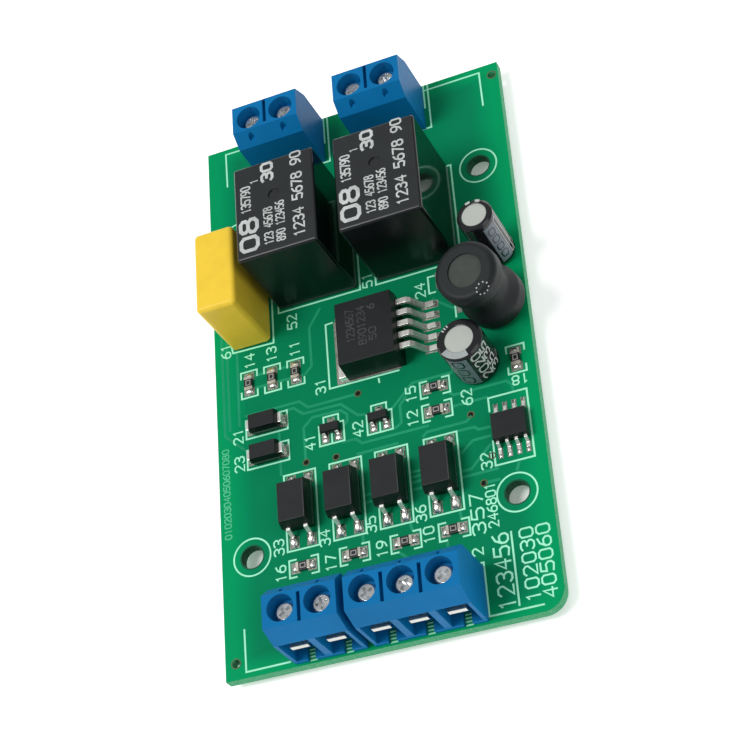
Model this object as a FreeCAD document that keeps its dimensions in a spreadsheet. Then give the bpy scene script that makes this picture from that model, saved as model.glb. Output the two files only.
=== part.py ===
import FreeCAD, Part
import math
import os
import re
import Sketcher

# DC motor driver module: a circuit board with two relays, four screw terminal blocks, a switching
# regulator with its coil and capacitors, four optocouplers and small surface parts.
# Plan positions are measured from the corner of the board at low x and low y, heights from its top face.

V = FreeCAD.Vector
Z_AXIS = V(0, 0, 1)

doc = FreeCAD.newDocument("MotorDriverModule")
sheet = doc.addObject("Spreadsheet::Sheet", "Sizes")

SIZES = [
    # Circuit board
    ("board_w", 46.6, "board width"),
    ("board_l", 85.5, "board length"),
    ("plan_w", 46.6, "board width that the plan places are given for"),
    ("plan_l", 85.5, "board length that the plan places are given for"),
    ("board_t", 1.6, "board thickness"),
    ("corner_r", 3.0, "rounded corner"),
    ("lead_out", 1.5, "cut lead ends below the board"),
    ("bolt_d", 3.2, "mounting hole"),
    ("bolt_in_x", 4.55, "mounting holes from the long edges"),
    ("bolt_in_y", 16.95, "mounting holes from the short edges"),
    ("tool_d", 1.1, "tooling hole"),
    ("tool_low_x", 1.56, "tooling hole from the low edges"),
    ("tool_low_y", 2.3, "tooling hole from the low edges"),
    ("tool_high_x", 0.96, "tooling hole from the high edges"),
    ("tool_high_y", 2.02, "tooling hole from the high edges"),
    ("drill_gap", 0.15, "room round a lead in its hole"),
    # Terminal blocks
    ("pitch", 5.08, "pole pitch"),
    ("block_depth", 7.6, "housing depth"),
    ("block_top", 10.0, "housing height"),
    ("band_low", 6.7, "lower edge of the sloped band"),
    ("band_in", 1.15, "set back of the top edge"),
    ("rear_flat", 5.7, "depth where the rear bevel starts"),
    ("rear_low", 7.9, "height where the rear bevel ends"),
    ("rear_in", 0.25, "set back at the foot of the rear bevel"),
    ("mouth_w", 4.1, "width of each wire chamber"),
    ("floor_t", 0.8, "chamber floor"),
    ("ceiling", 7.4, "top of the wire chamber"),
    ("band_t", 1.6, "depth of the band over the chamber"),
    ("chamber_back", 5.6, "depth of the wire chamber"),
    ("ledge_t", 0.3, "ledge that carries a screw head"),
    ("well_d", 3.7, "screw well"),
    ("screw_in", 3.6, "screw axis behind the wire side"),
    ("slot_w", 0.5, "slot between poles"),
    ("slot_front", 1.25, "front end of that slot"),
    ("slot_back", 5.25, "rear end of that slot"),
    ("slot_depth", 0.8, "depth of that slot"),
    ("notch_w", 1.2, "notch in the chamber floor"),
    ("notch_l", 1.85, "length of that notch"),
    ("dimple_r", 0.45, "moulded dimple in the rear bevel"),
    ("dimple_in", 6.45, "that dimple behind the wire side"),
    ("dimple_low", 8.5, "floor of that dimple"),
    ("low_edge", 0.35, "board edge to the low blocks"),
    ("high_edge", 0.3, "board edge to the high blocks"),
    ("block_gap", 1.01, "gap between the two low blocks"),
    # Terminal screws, wire clamps and contacts
    ("head_d", 2.55, "screw head"),
    ("head_t", 0.8, "screw head height"),
    ("head_gap", 0.05, "screw head above its ledge"),
    ("shank_d", 1.95, "screw shank"),
    ("shank_gap", 0.1, "ledge hole round the shank"),
    ("thread_gap", 0.05, "clamp thread round the shank"),
    ("tip_gap", 0.2, "screw tip above the contact strip"),
    ("tip_bevel", 0.25, "bevel at the screw tip"),
    ("recess_w", 0.45, "cross recess width"),
    ("recess_l", 1.7, "cross recess length"),
    ("recess_depth", 0.5, "cross recess depth"),
    ("clamp_w", 3.7, "wire clamp width"),
    ("clamp_wall", 0.5, "wire clamp side wall"),
    ("clamp_top", 0.6, "wire clamp threaded wall"),
    ("clamp_floor", 0.8, "wire clamp lower wall"),
    ("clamp_l", 3.6, "wire clamp length"),
    ("clamp_gap", 0.1, "wire clamp to ceiling and strip"),
    ("strip_t", 0.85, "contact strip thickness"),
    ("strip_w", 2.5, "contact strip width"),
    ("strip_low", 3.9, "underside of the contact strip"),
    ("strip_front", 0.3, "front end of the contact strip"),
    ("pin_w", 1.0, "solder pin width"),
    ("pin_t", 0.8, "solder pin thickness"),
    ("pin_in", 6.1, "solder pin behind the wire side"),
    ("seat_gap", 0.05, "contact strip in its channel"),
    # Relays
    ("relay_w", 12.1, "relay width"),
    ("relay_l", 15.6, "relay length"),
    ("relay_top", 13.9, "relay height"),
    ("relay_edge", 0.45, "rounded cover edge"),
    ("relay_foot", 0.3, "stand off under the relay"),
    ("relay_foot_y", 2.6, "relay feet from the middle"),
    ("relay_wall", 0.6, "cover wall round the base"),
    ("relay_base_t", 1.2, "relay base thickness"),
    ("relay_dimple_r", 0.9, "moulded dimple in the cover"),
    ("relay_dimple_y", 1.7, "that dimple from the relay centre"),
    ("relay_pin_w", 1.0, "relay pin width"),
    ("relay_pin_t", 0.5, "relay pin thickness"),
    ("relay_pin_x", 4.5, "relay pins from the centre line"),
    ("relay_pin_y", 6.0, "relay pins from the middle"),
    # Film capacitor
    ("film_w", 6.0, "film capacitor thickness"),
    ("film_l", 12.95, "film capacitor length"),
    ("film_top", 11.8, "film capacitor height"),
    ("film_edge", 0.7, "film capacitor edge radius"),
    ("film_gap", 1.6, "film capacitor to the relay at low x"),
    ("film_back", 5.9, "film capacitor behind the middle of the relays"),
    ("film_pitch", 10.0, "film capacitor lead pitch"),
    ("film_foot", 0.3, "film capacitor stand off"),
    ("lead_d", 0.6, "round lead"),
    # Electrolytic capacitors
    ("input_d", 6.3, "input capacitor"),
    ("input_top", 7.5, "input capacitor height"),
    ("input_lap", 1.15, "its sleeve turned over the rim"),
    ("coil_to_input", 8.6, "coil to input capacitor along y"),
    ("input_pitch", 2.5, "input capacitor lead pitch"),
    ("output_d", 5.0, "output capacitor"),
    ("output_top", 10.0, "output capacitor height"),
    ("output_lap", 0.75, "its sleeve turned over the rim"),
    ("coil_to_output", 7.95, "coil to output capacitor along y"),
    ("output_pitch", 2.0, "output capacitor lead pitch"),
    ("sleeve_t", 0.15, "capacitor sleeve"),
    ("can_foot", 0.35, "capacitor stand off"),
    ("bead_up", 1.5, "crimp above the seal"),
    ("bead_in", 0.35, "crimp depth"),
    ("seal_t", 0.9, "rubber seal"),
    # Coil
    ("coil_r", 4.3, "coil flange with its sleeve"),
    ("coil_waist", 3.35, "coil waist with its sleeve"),
    ("coil_l", 11.35, "coil length"),
    ("coil_flange", 2.2, "coil flange thickness"),
    ("coil_bevel", 0.4, "bevelled rims of the core"),
    ("coil_round", 0.85, "rounded rims of the sleeve"),
    ("coil_hollow", 2.0, "rounding where the sleeve sinks to the waist"),
    ("coil_sleeve", 0.25, "coil sleeve thickness"),
    ("coil_open", 2.35, "open end of the coil sleeve"),
    ("coil_core", 1.6, "coil core under the winding"),
    ("coil_lean", 8.6, "lean of the coil in degrees"),
    ("coil_toward", 247.0, "plan direction of that lean in degrees"),
    ("coil_lift", 0.05, "lowest edge of the coil above the board"),
    ("coil_pitch", 5.0, "coil lead pitch"),
    # Regulator
    ("reg_w", 8.7, "regulator body along x"),
    ("reg_l", 9.7, "regulator body along y"),
    ("reg_top", 4.5, "regulator height"),
    ("reg_draft", 0.25, "slope of the regulator sides"),
    ("tab_t", 1.27, "regulator tab"),
    ("tab_out", 1.05, "tab beyond the body"),
    ("tab_in", 1.2, "body beyond the tab at the leads"),
    ("tab_side", 0.7, "body beyond the tab at its sides"),
    ("reg_pitch", 1.75, "regulator lead pitch"),
    ("reg_lead_w", 0.8, "regulator lead width"),
    ("reg_lead_t", 0.45, "regulator lead thickness"),
    ("reg_lead_z", 3.1, "regulator lead height at the body"),
    ("reg_lead_l", 4.55, "regulator lead reach"),
    ("reg_foot", 1.45, "regulator lead foot"),
    ("reg_knee", 1.8, "level part of a regulator lead"),
    ("reg_bend", 0.25, "half the length of its bends"),
    # Driver chip
    ("input_to_chip", 10.6, "input capacitor to driver chip along y"),
    ("chip_w", 4.8, "driver chip along x"),
    ("chip_l", 3.9, "driver chip along y"),
    ("chip_top", 1.65, "driver chip height"),
    ("chip_foot", 0.1, "driver chip stand off"),
    ("chip_pitch", 1.27, "driver chip lead pitch"),
    ("chip_lead_w", 0.42, "driver chip lead width"),
    ("chip_lead_t", 0.2, "driver chip lead thickness"),
    ("chip_lead_l", 1.45, "driver chip lead reach"),
    ("chip_lead_foot", 0.7, "driver chip lead foot"),
    # Optocouplers
    ("opto_w", 4.5, "optocoupler along x"),
    ("opto_l", 6.4, "optocoupler along y"),
    ("opto_top", 3.6, "optocoupler height"),
    ("opto_foot", 0.1, "optocoupler stand off"),
    ("opto_draft", 0.32, "slope of the optocoupler sides"),
    ("opto_pitch", 2.54, "optocoupler lead pitch"),
    ("opto_lead_w", 0.6, "optocoupler lead width"),
    ("opto_lead_t", 0.25, "optocoupler lead thickness"),
    ("opto_lead_l", 1.85, "optocoupler lead reach"),
    ("opto_lead_foot", 1.0, "optocoupler lead foot"),
    # Diodes
    ("diode_w", 4.3, "diode length"),
    ("diode_l", 2.6, "diode width"),
    ("diode_top", 2.2, "diode height"),
    ("diode_foot", 0.22, "diode stand off"),
    ("diode_draft", 0.2, "slope of the diode sides"),
    ("diode_lead_w", 1.45, "diode lead width"),
    ("diode_lead_t", 0.2, "diode lead thickness"),
    ("diode_lead_l", 0.5, "diode lead beyond the body"),
    ("coil_to_diode", 5.85, "coil to diode four along y"),
    ("diode_gap", 1.6, "diode four to the relays"),
    # Transistors
    ("trans_w", 2.9, "transistor along x"),
    ("trans_l", 1.35, "transistor along y"),
    ("trans_top", 1.1, "transistor height"),
    ("trans_foot", 0.08, "transistor stand off"),
    ("trans_draft", 0.1, "slope of the transistor sides"),
    ("trans_pitch", 1.9, "transistor lead pitch"),
    ("trans_lead_w", 0.45, "transistor lead width"),
    ("trans_lead_t", 0.15, "transistor lead thickness"),
    ("trans_lead_l", 0.55, "transistor lead reach"),
    ("trans_lead_foot", 0.3, "transistor lead foot"),
    # Chip resistors
    ("res_l", 2.0, "resistor length"),
    ("res_w", 1.25, "resistor width"),
    ("res_t", 0.5, "resistor height"),
    ("cap_l", 0.4, "end cap length"),
    ("cap_t", 0.05, "end cap thickness"),
    ("res_back", 0.65, "resistor eight behind the input capacitor"),
]

# Plan places that spread with the board
PLACES = [
    ("block_one_x", "w", 14.05),
    ("block_two_x", "w", 29.95),
    ("block_three_x", "w", 15.19),
    ("relay_a_x", "w", 31.7),
    ("relay_b_x", "w", 16.6),
    ("coil_x", "w", 42.6),
    ("coil_y", "l", 45.45),
    ("input_x", "w", 38.8),
    ("output_x", "w", 43.5),
    ("reg_x", "w", 24.7),
    ("reg_y", "l", 44.6),
    ("chip_x", "w", 42.4),
    ("opto_y", "l", 22.1),
    ("opto_one_x", "w", 12.1),
    ("opto_two_x", "w", 18.85),
    ("opto_three_x", "w", 25.5),
    ("opto_four_x", "w", 32.5),
    ("diode_one_x", "w", 7.7),
    ("diode_one_y", "l", 36.3),
    ("diode_three_x", "w", 7.67),
    ("diode_three_y", "l", 31.6),
    ("diode_four_x", "w", 37.2),
    ("trans_one_x", "w", 17.2),
    ("trans_one_y", "l", 33.0),
    ("trans_two_x", "w", 24.25),
    ("trans_two_y", "l", 32.8),
    ("res_one_x", "w", 12.43),
    ("res_one_y", "l", 43.45),
    ("res_two_x", "w", 32.47),
    ("res_two_y", "l", 31.6),
    ("res_three_x", "w", 8.84),
    ("res_three_y", "l", 43.55),
    ("res_four_x", "w", 5.24),
    ("res_four_y", "l", 43.6),
    ("res_five_x", "w", 32.46),
    ("res_five_y", "l", 35.2),
    ("res_six_x", "w", 12.0),
    ("res_six_y", "l", 13.8),
    ("res_seven_x", "w", 19.3),
    ("res_seven_y", "l", 13.8),
    ("res_eight_x", "w", 44.07),
    ("res_nine_x", "w", 26.5),
    ("res_nine_y", "l", 13.8),
    ("res_ten_x", "w", 33.2),
    ("res_ten_y", "l", 13.85),
]

# Places that follow a neighbour
FOLLOWERS = [
    ("block_four_x", "block_three_x + pitch * 2.5 + block_gap"),
    ("input_y", "coil_y - coil_to_input"),
    ("output_y", "coil_y + coil_to_output"),
    ("chip_y", "input_y - input_to_chip"),
    ("diode_four_y", "coil_y + coil_to_diode"),
    ("relay_y", "diode_four_y + diode_l / 2 + diode_gap + relay_l / 2"),
    ("film_x", "relay_b_x - relay_w / 2 - film_gap - film_w / 2"),
    ("film_y", "relay_y - film_back"),
    ("res_eight_y", "input_y - res_back"),
]


def on_board(side, value):
    """A plan place, stretched from the plan's width or length to the board's."""
    return f"{value} * board_{side} / plan_{side}"


cells = [(alias, str(value), note) for alias, value, note in SIZES]
cells += [(alias, "=" + on_board(side, value), "plan place") for alias, side, value in PLACES]
cells += [(alias, "=" + formula, "follows its neighbour") for alias, formula in FOLLOWERS]
for row, (alias, content, note) in enumerate(cells, 1):
    sheet.set(f"A{row}", content)
    sheet.setAlias(f"A{row}", alias)
    sheet.set(f"B{row}", note)
doc.recompute()

# Each block's poles lie at these steps of the pitch from its centre
TWO_POLES = (-0.5, 0.5)
THREE_POLES = (-1, 0, 1)
BLOCKS = [
    ("1", "block_one_x", TWO_POLES, True),
    ("2", "block_two_x", TWO_POLES, True),
    ("3", "block_three_x", TWO_POLES, False),
    ("4", "block_four_x", THREE_POLES, False),
]
SCREW_TURNS = [12, 48, 25, 70, 35, 8, 28, 60, 33]
OPTOS = ["opto_one_x", "opto_two_x", "opto_three_x", "opto_four_x"]
RESISTORS_ALONG_X = ["two", "five", "six", "seven", "nine", "ten"]
RESISTORS_ALONG_Y = ["one", "three", "four", "eight"]

# Leads that pass through the board
PIN_ACROSS = "pin_w * 1.25"
RELAY_PINS = [(-1, -1), (1, -1), (0, 1), (-1, 1), (1, 1)]
ROUND_LEADS = [
    ("film_x", "film_y", ("0", "film_pitch / 2")),
    ("input_x", "input_y", ("input_pitch / 2", "0")),
    ("output_x", "output_y", ("output_pitch / 2", "0")),
    ("coil_x", "coil_y", ("coil_pitch / 2", "0")),
]

parts = []


def ex(text):
    """Expression text with each size name pointed at the sheet."""
    return re.sub(r"[a-z][a-z_]*", lambda match: "Sizes." + match.group(0), str(text))


def num(text):
    """Present value of an expression in size names."""
    return float(sheet.evalExpression(ex(text)))


def seat(item, x="0", y="0", z="0", rotation=FreeCAD.Rotation()):
    """Puts an item at x, y from the board's low corner and z above its top face."""
    item.Placement = FreeCAD.Placement(V(), rotation)
    item.setExpression("Placement.Base.x", ex(f"{x} - board_w / 2"))
    item.setExpression("Placement.Base.y", ex(f"{y} - board_l / 2"))
    item.setExpression("Placement.Base.z", ex(f"{z} + board_t + lead_out"))


def place(item, x="0", y="0", z="0"):
    """Puts an item at x, y, z of its own assembly."""
    for letter, text in zip("xyz", (x, y, z)):
        item.setExpression(f"Placement.Base.{letter}", ex(text))


def box(name, x, y, z):
    """Box between two expressions on each axis."""
    item = doc.addObject("Part::Box", name)
    for size, letter, (low, high) in zip(("Length", "Width", "Height"), "xyz", (x, y, z)):
        item.setExpression(size, ex(f"({high}) - ({low})"))
        item.setExpression(f"Placement.Base.{letter}", ex(low))
    return item


def rod(name, radius, x, y, z):
    """Upright cylinder between two heights."""
    item = doc.addObject("Part::Cylinder", name)
    item.setExpression("Radius", ex(radius))
    item.setExpression("Height", ex(f"({z[1]}) - ({z[0]})"))
    place(item, x, y, z[0])
    return item


def join(name, items):
    item = doc.addObject("Part::MultiFuse", name)
    item.Shapes = items
    return item


def group(name, items):
    """Separate solids of one kind kept together."""
    item = doc.addObject("Part::Compound", name)
    item.Links = items
    return item


def polygon(sketch, points):
    """Closed outline whose corners are bound to the sheet."""
    first = sketch.GeometryCount
    here = [V(num(u), num(v), 0) for u, v in points]
    last = len(points) - 1
    for k in range(len(points)):
        sketch.addGeometry(Part.LineSegment(here[k], here[k + 1 if k < last else 0]), False)
    for k in range(len(points)):
        after = first + (k + 1 if k < last else 0)
        sketch.addConstraint(Sketcher.Constraint("Coincident", first + k, 2, after, 1))
    for k, corner in enumerate(points):
        for kind, text in zip(("DistanceX", "DistanceY"), corner):
            index = sketch.addConstraint(Sketcher.Constraint(kind, -1, 1, first + k, 1, num(text)))
            sketch.setExpression(f"Constraints[{index}]", ex(text))


def rectangle(sketch, u, v):
    polygon(sketch, [(u[0], v[0]), (u[1], v[0]), (u[1], v[1]), (u[0], v[1])])


def circle(sketch, radius, u, v):
    """Circle whose radius and centre are bound to the sheet."""
    centre = V(num(u), num(v), 0)
    curve = sketch.addGeometry(Part.Circle(centre, V(0, 0, 1), num(radius)), False)
    index = sketch.addConstraint(Sketcher.Constraint("Radius", curve, num(radius)))
    sketch.setExpression(f"Constraints[{index}]", ex(radius))
    for kind, text in (("DistanceX", u), ("DistanceY", v)):
        index = sketch.addConstraint(Sketcher.Constraint(kind, -1, 1, curve, 3, num(text)))
        sketch.setExpression(f"Constraints[{index}]", ex(text))


def new_body(name):
    body = doc.addObject("PartDesign::Body", name)
    doc.recompute()
    return body


def body_sketch(body, name, plane, lift="0"):
    """Sketch on one of the body's own planes, lifted along the plane's normal."""
    sketch = body.newObject("Sketcher::SketchObject", name)
    support = [item for item in body.Origin.OriginFeatures if item.Role == plane][0]
    sketch.AttachmentSupport = (support, [""])
    sketch.MapMode = "FlatFace"
    sketch.setExpression("AttachmentOffset.Base.z", ex(lift))
    return sketch


def pad(body, sketch, length, symmetric=False):
    feature = body.newObject("PartDesign::Pad", sketch.Name + "Pad")
    feature.Profile = sketch
    feature.setExpression("Length", ex(length))
    if symmetric:
        feature.SideType = "Symmetric"
    doc.recompute()
    return feature


def pocket(body, sketch, length, symmetric=False, upward=False):
    """Cuts against the sketch's normal, or along it when upward, and proves that it cut."""
    before = body.Shape.Volume
    feature = body.newObject("PartDesign::Pocket", sketch.Name + "Pocket")
    feature.Profile = sketch
    feature.Reversed = upward
    feature.setExpression("Length", ex(length))
    if symmetric:
        feature.SideType = "Symmetric"
    doc.recompute()
    if body.Shape.Volume > before - 1e-6:
        raise RuntimeError(f"{feature.Name} cuts nothing")
    return feature


def revolve(body, sketch):
    feature = body.newObject("PartDesign::Revolution", sketch.Name + "Revolution")
    feature.Profile = sketch
    feature.ReferenceAxis = (sketch, ["V_Axis"])
    feature.Angle = 360
    doc.recompute()
    return feature


def round_edges(body, edges, radius):
    solid = body.Tip
    feature = body.newObject("PartDesign::Fillet", body.Name + "Round")
    feature.Base = (solid, edges)
    feature.setExpression("Radius", ex(radius))
    body.Tip = feature
    doc.recompute()


def edges_where(shape, test):
    """Names of the edges whose two ends and middle pass a test."""
    names = []
    for k, edge in enumerate(shape.Edges, 1):
        ends = [vertex.Point for vertex in edge.Vertexes] + [edge.CenterOfMass]
        if all(test(point) for point in ends):
            names.append(f"Edge{k}")
    return names


def rims(shape, radius):
    """Names of the round edges of one radius."""
    names = []
    for k, edge in enumerate(shape.Edges, 1):
        if hasattr(edge.Curve, "Radius") and abs(edge.Curve.Radius - num(radius)) < 1e-6:
            names.append(f"Edge{k}")
    return names


def keep(item, label):
    """Names a finished sub-part after its file."""
    item.Label = label
    parts.append(item)


# Side profiles for bent leads: they are drawn in the plane of the lead and given their width
def bent_strip(name, points, width, along_y=False):
    sketch = doc.addObject("Sketcher::SketchObject", name + "Profile")
    turn = FreeCAD.Rotation(V(1, 1, 1), 120) if along_y else FreeCAD.Rotation(V(1, 0, 0), 90)
    sketch.Placement = FreeCAD.Placement(V(), turn)
    polygon(sketch, points)
    item = doc.addObject("Part::Extrusion", name)
    item.Base = sketch
    item.DirMode = "Normal"
    item.setExpression("LengthFwd", ex(width))
    item.Symmetric = True
    item.Solid = True
    return item


def eased_points(start, level, reach, foot, height, thick, bend):
    """Lead like a gull lead whose two bends are eased by a short slanted stretch each."""
    knee = f"{start} + {level}"
    heel = f"{start} + {reach} - {foot}"
    toe = f"{start} + {reach}"
    drop = f"({height} - {thick}) * {bend} / ({reach} - {foot} - {level})"
    back = f"{thick} * 0.6"
    return [
        (start, height),
        (f"{knee} - {bend}", height),
        (f"{knee} + {bend}", f"{height} - {drop}"),
        (f"{heel} - {bend}", f"{thick} + {drop}"),
        (f"{heel} + {bend}", thick),
        (toe, thick),
        (toe, "0"),
        (f"{heel} + {bend} - {back}", "0"),
        (f"{heel} - {bend} - {back}", drop),
        (f"{knee} + {bend} - {back}", f"{height} - {thick} - {drop}"),
        (f"{knee} - {bend} - {back}", f"{height} - {thick}"),
        (start, f"{height} - {thick}"),
    ]


def gull_points(start, reach, foot, height, thick):
    """Lead that leaves a body level, slopes down and ends in a flat foot."""
    knee = f"{start} + ({reach} - {foot}) * 0.45"
    heel = f"{start} + {reach} - {foot}"
    toe = f"{start} + {reach}"
    return [
        (start, height),
        (knee, height),
        (heel, thick),
        (toe, thick),
        (toe, "0"),
        (f"{heel} - {thick} * 0.6", "0"),
        (f"{knee} - {thick} * 0.6", f"{height} - {thick}"),
        (start, f"{height} - {thick}"),
    ]


def drafted_block(name, width, length, low, top, draft):
    """Moulded package: widest at its parting line, sloping in above and below it."""
    body = new_body(name)
    middle = f"({low} + {top}) / 2"
    loft_rings = []
    for ring, (height, inset) in enumerate(((low, draft), (middle, "0"), (top, draft))):
        sketch = body_sketch(body, f"{name}Ring{ring}", "XY_Plane", height)
        across = (f"-{width} / 2 + {inset}", f"{width} / 2 - {inset}")
        along = (f"-{length} / 2 + {inset}", f"{length} / 2 - {inset}")
        rectangle(sketch, across, along)
        loft_rings.append(sketch)
    doc.recompute()
    loft = body.newObject("PartDesign::AdditiveLoft", name + "Loft")
    loft.Profile = loft_rings[0]
    loft.Sections = loft_rings[1:]
    loft.Ruled = True
    doc.recompute()
    return body


# Circuit board
def pole_x(step):
    return f"pitch * {step}"


def lead_holes():
    """Plan place and radius of each hole that a lead passes through."""
    holes = []
    for _, block_x, poles, high in BLOCKS:
        y = "board_l - high_edge - pin_in" if high else "low_edge + pin_in"
        for step in poles:
            holes.append((f"{block_x} + {pole_x(step)}", y, f"{PIN_ACROSS} / 2 + drill_gap"))
    for relay_x in ("relay_a_x", "relay_b_x"):
        for across, along in RELAY_PINS:
            x = f"{relay_x} + relay_pin_x * {across}"
            y = f"relay_y + relay_pin_y * {along}"
            holes.append((x, y, "relay_pin_w / 2 + drill_gap"))
    for x, y, (half_x, half_y) in ROUND_LEADS:
        for side in (-1, 1):
            holes.append((f"{x} + {side} * {half_x}", f"{y} + {side} * {half_y}", "lead_d / 2 + drill_gap"))
    return holes


board = new_body("Board")
outline = body_sketch(board, "BoardOutline", "XY_Plane")
rectangle(outline, ("0", "board_w"), ("0", "board_l"))
pad(board, outline, "board_t")
corner = edges_where(
    board.Shape,
    lambda p: abs(p.x - num("board_w")) < 1e-6 and abs(p.y) < 1e-6,
)
round_edges(board, corner, "corner_r")
drilling = body_sketch(board, "BoardDrilling", "XY_Plane", "board_t")
for bolt_x in ("bolt_in_x", "board_w - bolt_in_x"):
    for bolt_y in ("bolt_in_y", "board_l - bolt_in_y"):
        circle(drilling, "bolt_d / 2", bolt_x, bolt_y)
circle(drilling, "tool_d / 2", "tool_low_x", "tool_low_y")
circle(drilling, "tool_d / 2", "board_w - tool_high_x", "board_l - tool_high_y")
for hole_x, hole_y, hole_r in lead_holes():
    circle(drilling, hole_r, hole_x, hole_y)
pocket(board, drilling, "board_t")
seat(board, z="-board_t")
keep(board, "circuit_board")


# Terminal blocks: the wire side is at y = 0 of the block and the screws lie behind it
def terminal_housing(number, poles):
    body = new_body(f"Housing{number}")
    side = body_sketch(body, f"Housing{number}Side", "YZ_Plane")
    polygon(side, [
        ("0", "0"),
        ("0", "band_low"),
        ("band_in", "block_top"),
        ("rear_flat", "block_top"),
        ("block_depth - rear_in", "rear_low"),
        ("block_depth", "0"),
    ])
    pad(body, side, f"pitch * {len(poles)}", symmetric=True)
    cuts = [
        ("Mouth", "YZ_Plane", ("0 - band_in", "chamber_back"), ("floor_t", "band_low"), "mouth_w"),
        ("Rise", "YZ_Plane", ("band_t", "chamber_back"), ("band_low", "ceiling"), "mouth_w"),
        ("Notch", "YZ_Plane", ("0 - band_in", "notch_l"), ("0 - floor_t", "floor_t"), "notch_w"),
        ("Channel", "YZ_Plane", ("chamber_back - slot_w", "pin_in + pin_t / 2 + seat_gap"),
         ("0 - floor_t", "strip_low + strip_t + seat_gap"), "strip_w + 2 * seat_gap"),
    ]
    for name, plane, depth, height, width in cuts:
        for pole, step in enumerate(poles):
            sketch = body_sketch(body, f"{name}{number}{pole}", plane, pole_x(step))
            rectangle(sketch, depth, height)
            pocket(body, sketch, width, symmetric=True)
    dimples = body_sketch(body, f"Dimples{number}", "XY_Plane", "block_top")
    wells = body_sketch(body, f"Wells{number}", "XY_Plane", "block_top")
    bores = body_sketch(body, f"Bores{number}", "XY_Plane", "block_top")
    for step in poles:
        circle(dimples, "dimple_r", pole_x(step), "dimple_in")
        circle(wells, "well_d / 2", pole_x(step), "screw_in")
        circle(bores, "shank_d / 2 + shank_gap", pole_x(step), "screw_in")
    pocket(body, dimples, "block_top - dimple_low")
    pocket(body, wells, "block_top - ceiling - ledge_t")
    pocket(body, bores, "block_top - ceiling + ledge_t")
    slots = body_sketch(body, f"Slots{number}", "XY_Plane", "block_top")
    for before, after in zip(poles, poles[1:]):
        middle = pole_x((before + after) / 2)
        rectangle(slots, (f"{middle} - slot_w / 2", f"{middle} + slot_w / 2"), ("slot_front", "slot_back"))
    pocket(body, slots, "slot_depth")
    return body


def terminal_screw(number):
    """Captive cross-head screw, its axis upright and its underside of the head at height zero."""
    body = new_body(f"Screw{number}")
    shank = "ceiling + ledge_t + head_gap - strip_low - strip_t - tip_gap"
    profile = body_sketch(body, f"Screw{number}Profile", "XZ_Plane")
    polygon(profile, [
        ("0", f"-({shank})"),
        ("shank_d / 2 - tip_bevel", f"-({shank})"),
        ("shank_d / 2", f"tip_bevel - ({shank})"),
        ("shank_d / 2", "0"),
        ("head_d / 2", "0"),
        ("head_d / 2", "head_t * 0.75"),
        ("head_d / 2 - head_t * 0.25", "head_t"),
        ("0", "head_t"),
    ])
    revolve(body, profile)
    for name, across, along in (("A", "recess_l", "recess_w"), ("B", "recess_w", "recess_l")):
        sketch = body_sketch(body, f"Screw{number}Recess{name}", "XY_Plane", "head_t")
        rectangle(sketch, (f"-{across} / 2", f"{across} / 2"), (f"-{along} / 2", f"{along} / 2"))
        pocket(body, sketch, "recess_depth")
    return body


def wire_clamp(number):
    """Box clamp drawn up by its screw: a frame open along the wire, threaded through its top wall."""
    body = new_body(f"Clamp{number}")
    frame = body_sketch(body, f"Clamp{number}Frame", "XZ_Plane")
    low = "strip_low - clamp_gap - clamp_floor"
    high = "ceiling - clamp_gap"
    rectangle(frame, ("-clamp_w / 2", "clamp_w / 2"), (low, high))
    window = ("-clamp_w / 2 + clamp_wall", "clamp_w / 2 - clamp_wall")
    rectangle(frame, window, (f"{low} + clamp_floor", f"{high} - clamp_top"))
    pad(body, frame, "clamp_l", symmetric=True)
    bore = body_sketch(body, f"Clamp{number}Bore", "XY_Plane", high)
    circle(bore, "shank_d / 2 + thread_gap", "0", "0")
    pocket(body, bore, "clamp_top + clamp_gap")
    return body


def terminal_contact(name, step):
    """Strip that the clamp presses the wire on to, bent down behind it into the solder pin."""
    rear = "pin_in + pin_t / 2"
    pin = bent_strip(f"{name}Pin", [
        ("strip_front", "strip_low"),
        ("pin_in - pin_t / 2", "strip_low"),
        ("pin_in - pin_t / 2", "-board_t - lead_out"),
        (rear, "-board_t - lead_out"),
        (rear, "strip_low + strip_t"),
        ("strip_front", "strip_low + strip_t"),
    ], "pin_w", along_y=True)
    place(pin, pole_x(step))
    across = (f"{pole_x(step)} - strip_w / 2", f"{pole_x(step)} + strip_w / 2")
    strip = box(f"{name}Strip", across, ("strip_front", rear), ("strip_low", "strip_low + strip_t"))
    return join(name, [pin, strip])


screw_number = 0
for number, block_x, poles, high in BLOCKS:
    turned = FreeCAD.Rotation(Z_AXIS, 180 if high else 0)
    front = "board_l - high_edge" if high else "low_edge"
    inward = -1 if high else 1
    housing = terminal_housing(number, poles)
    seat(housing, block_x, front, rotation=turned)
    keep(housing, f"terminal_housing_{number}")
    contacts = [terminal_contact(f"Contact{number}{pole}", step) for pole, step in enumerate(poles)]
    contact_group = group(f"Contacts{number}", contacts)
    seat(contact_group, block_x, front, rotation=turned)
    keep(contact_group, f"terminal_contacts_{number}")
    for step in poles:
        screw_number += 1
        axis_x = f"{block_x} + {pole_x(step)}"
        axis_y = f"{front} + {inward} * screw_in"
        screw = terminal_screw(screw_number)
        turn = FreeCAD.Rotation(Z_AXIS, SCREW_TURNS[screw_number - 1])
        seat(screw, axis_x, axis_y, "ceiling + ledge_t + head_gap", turn)
        keep(screw, f"terminal_screw_{screw_number}")
        clamp = wire_clamp(screw_number)
        seat(clamp, axis_x, axis_y)
        keep(clamp, f"wire_clamp_{screw_number}")


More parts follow.
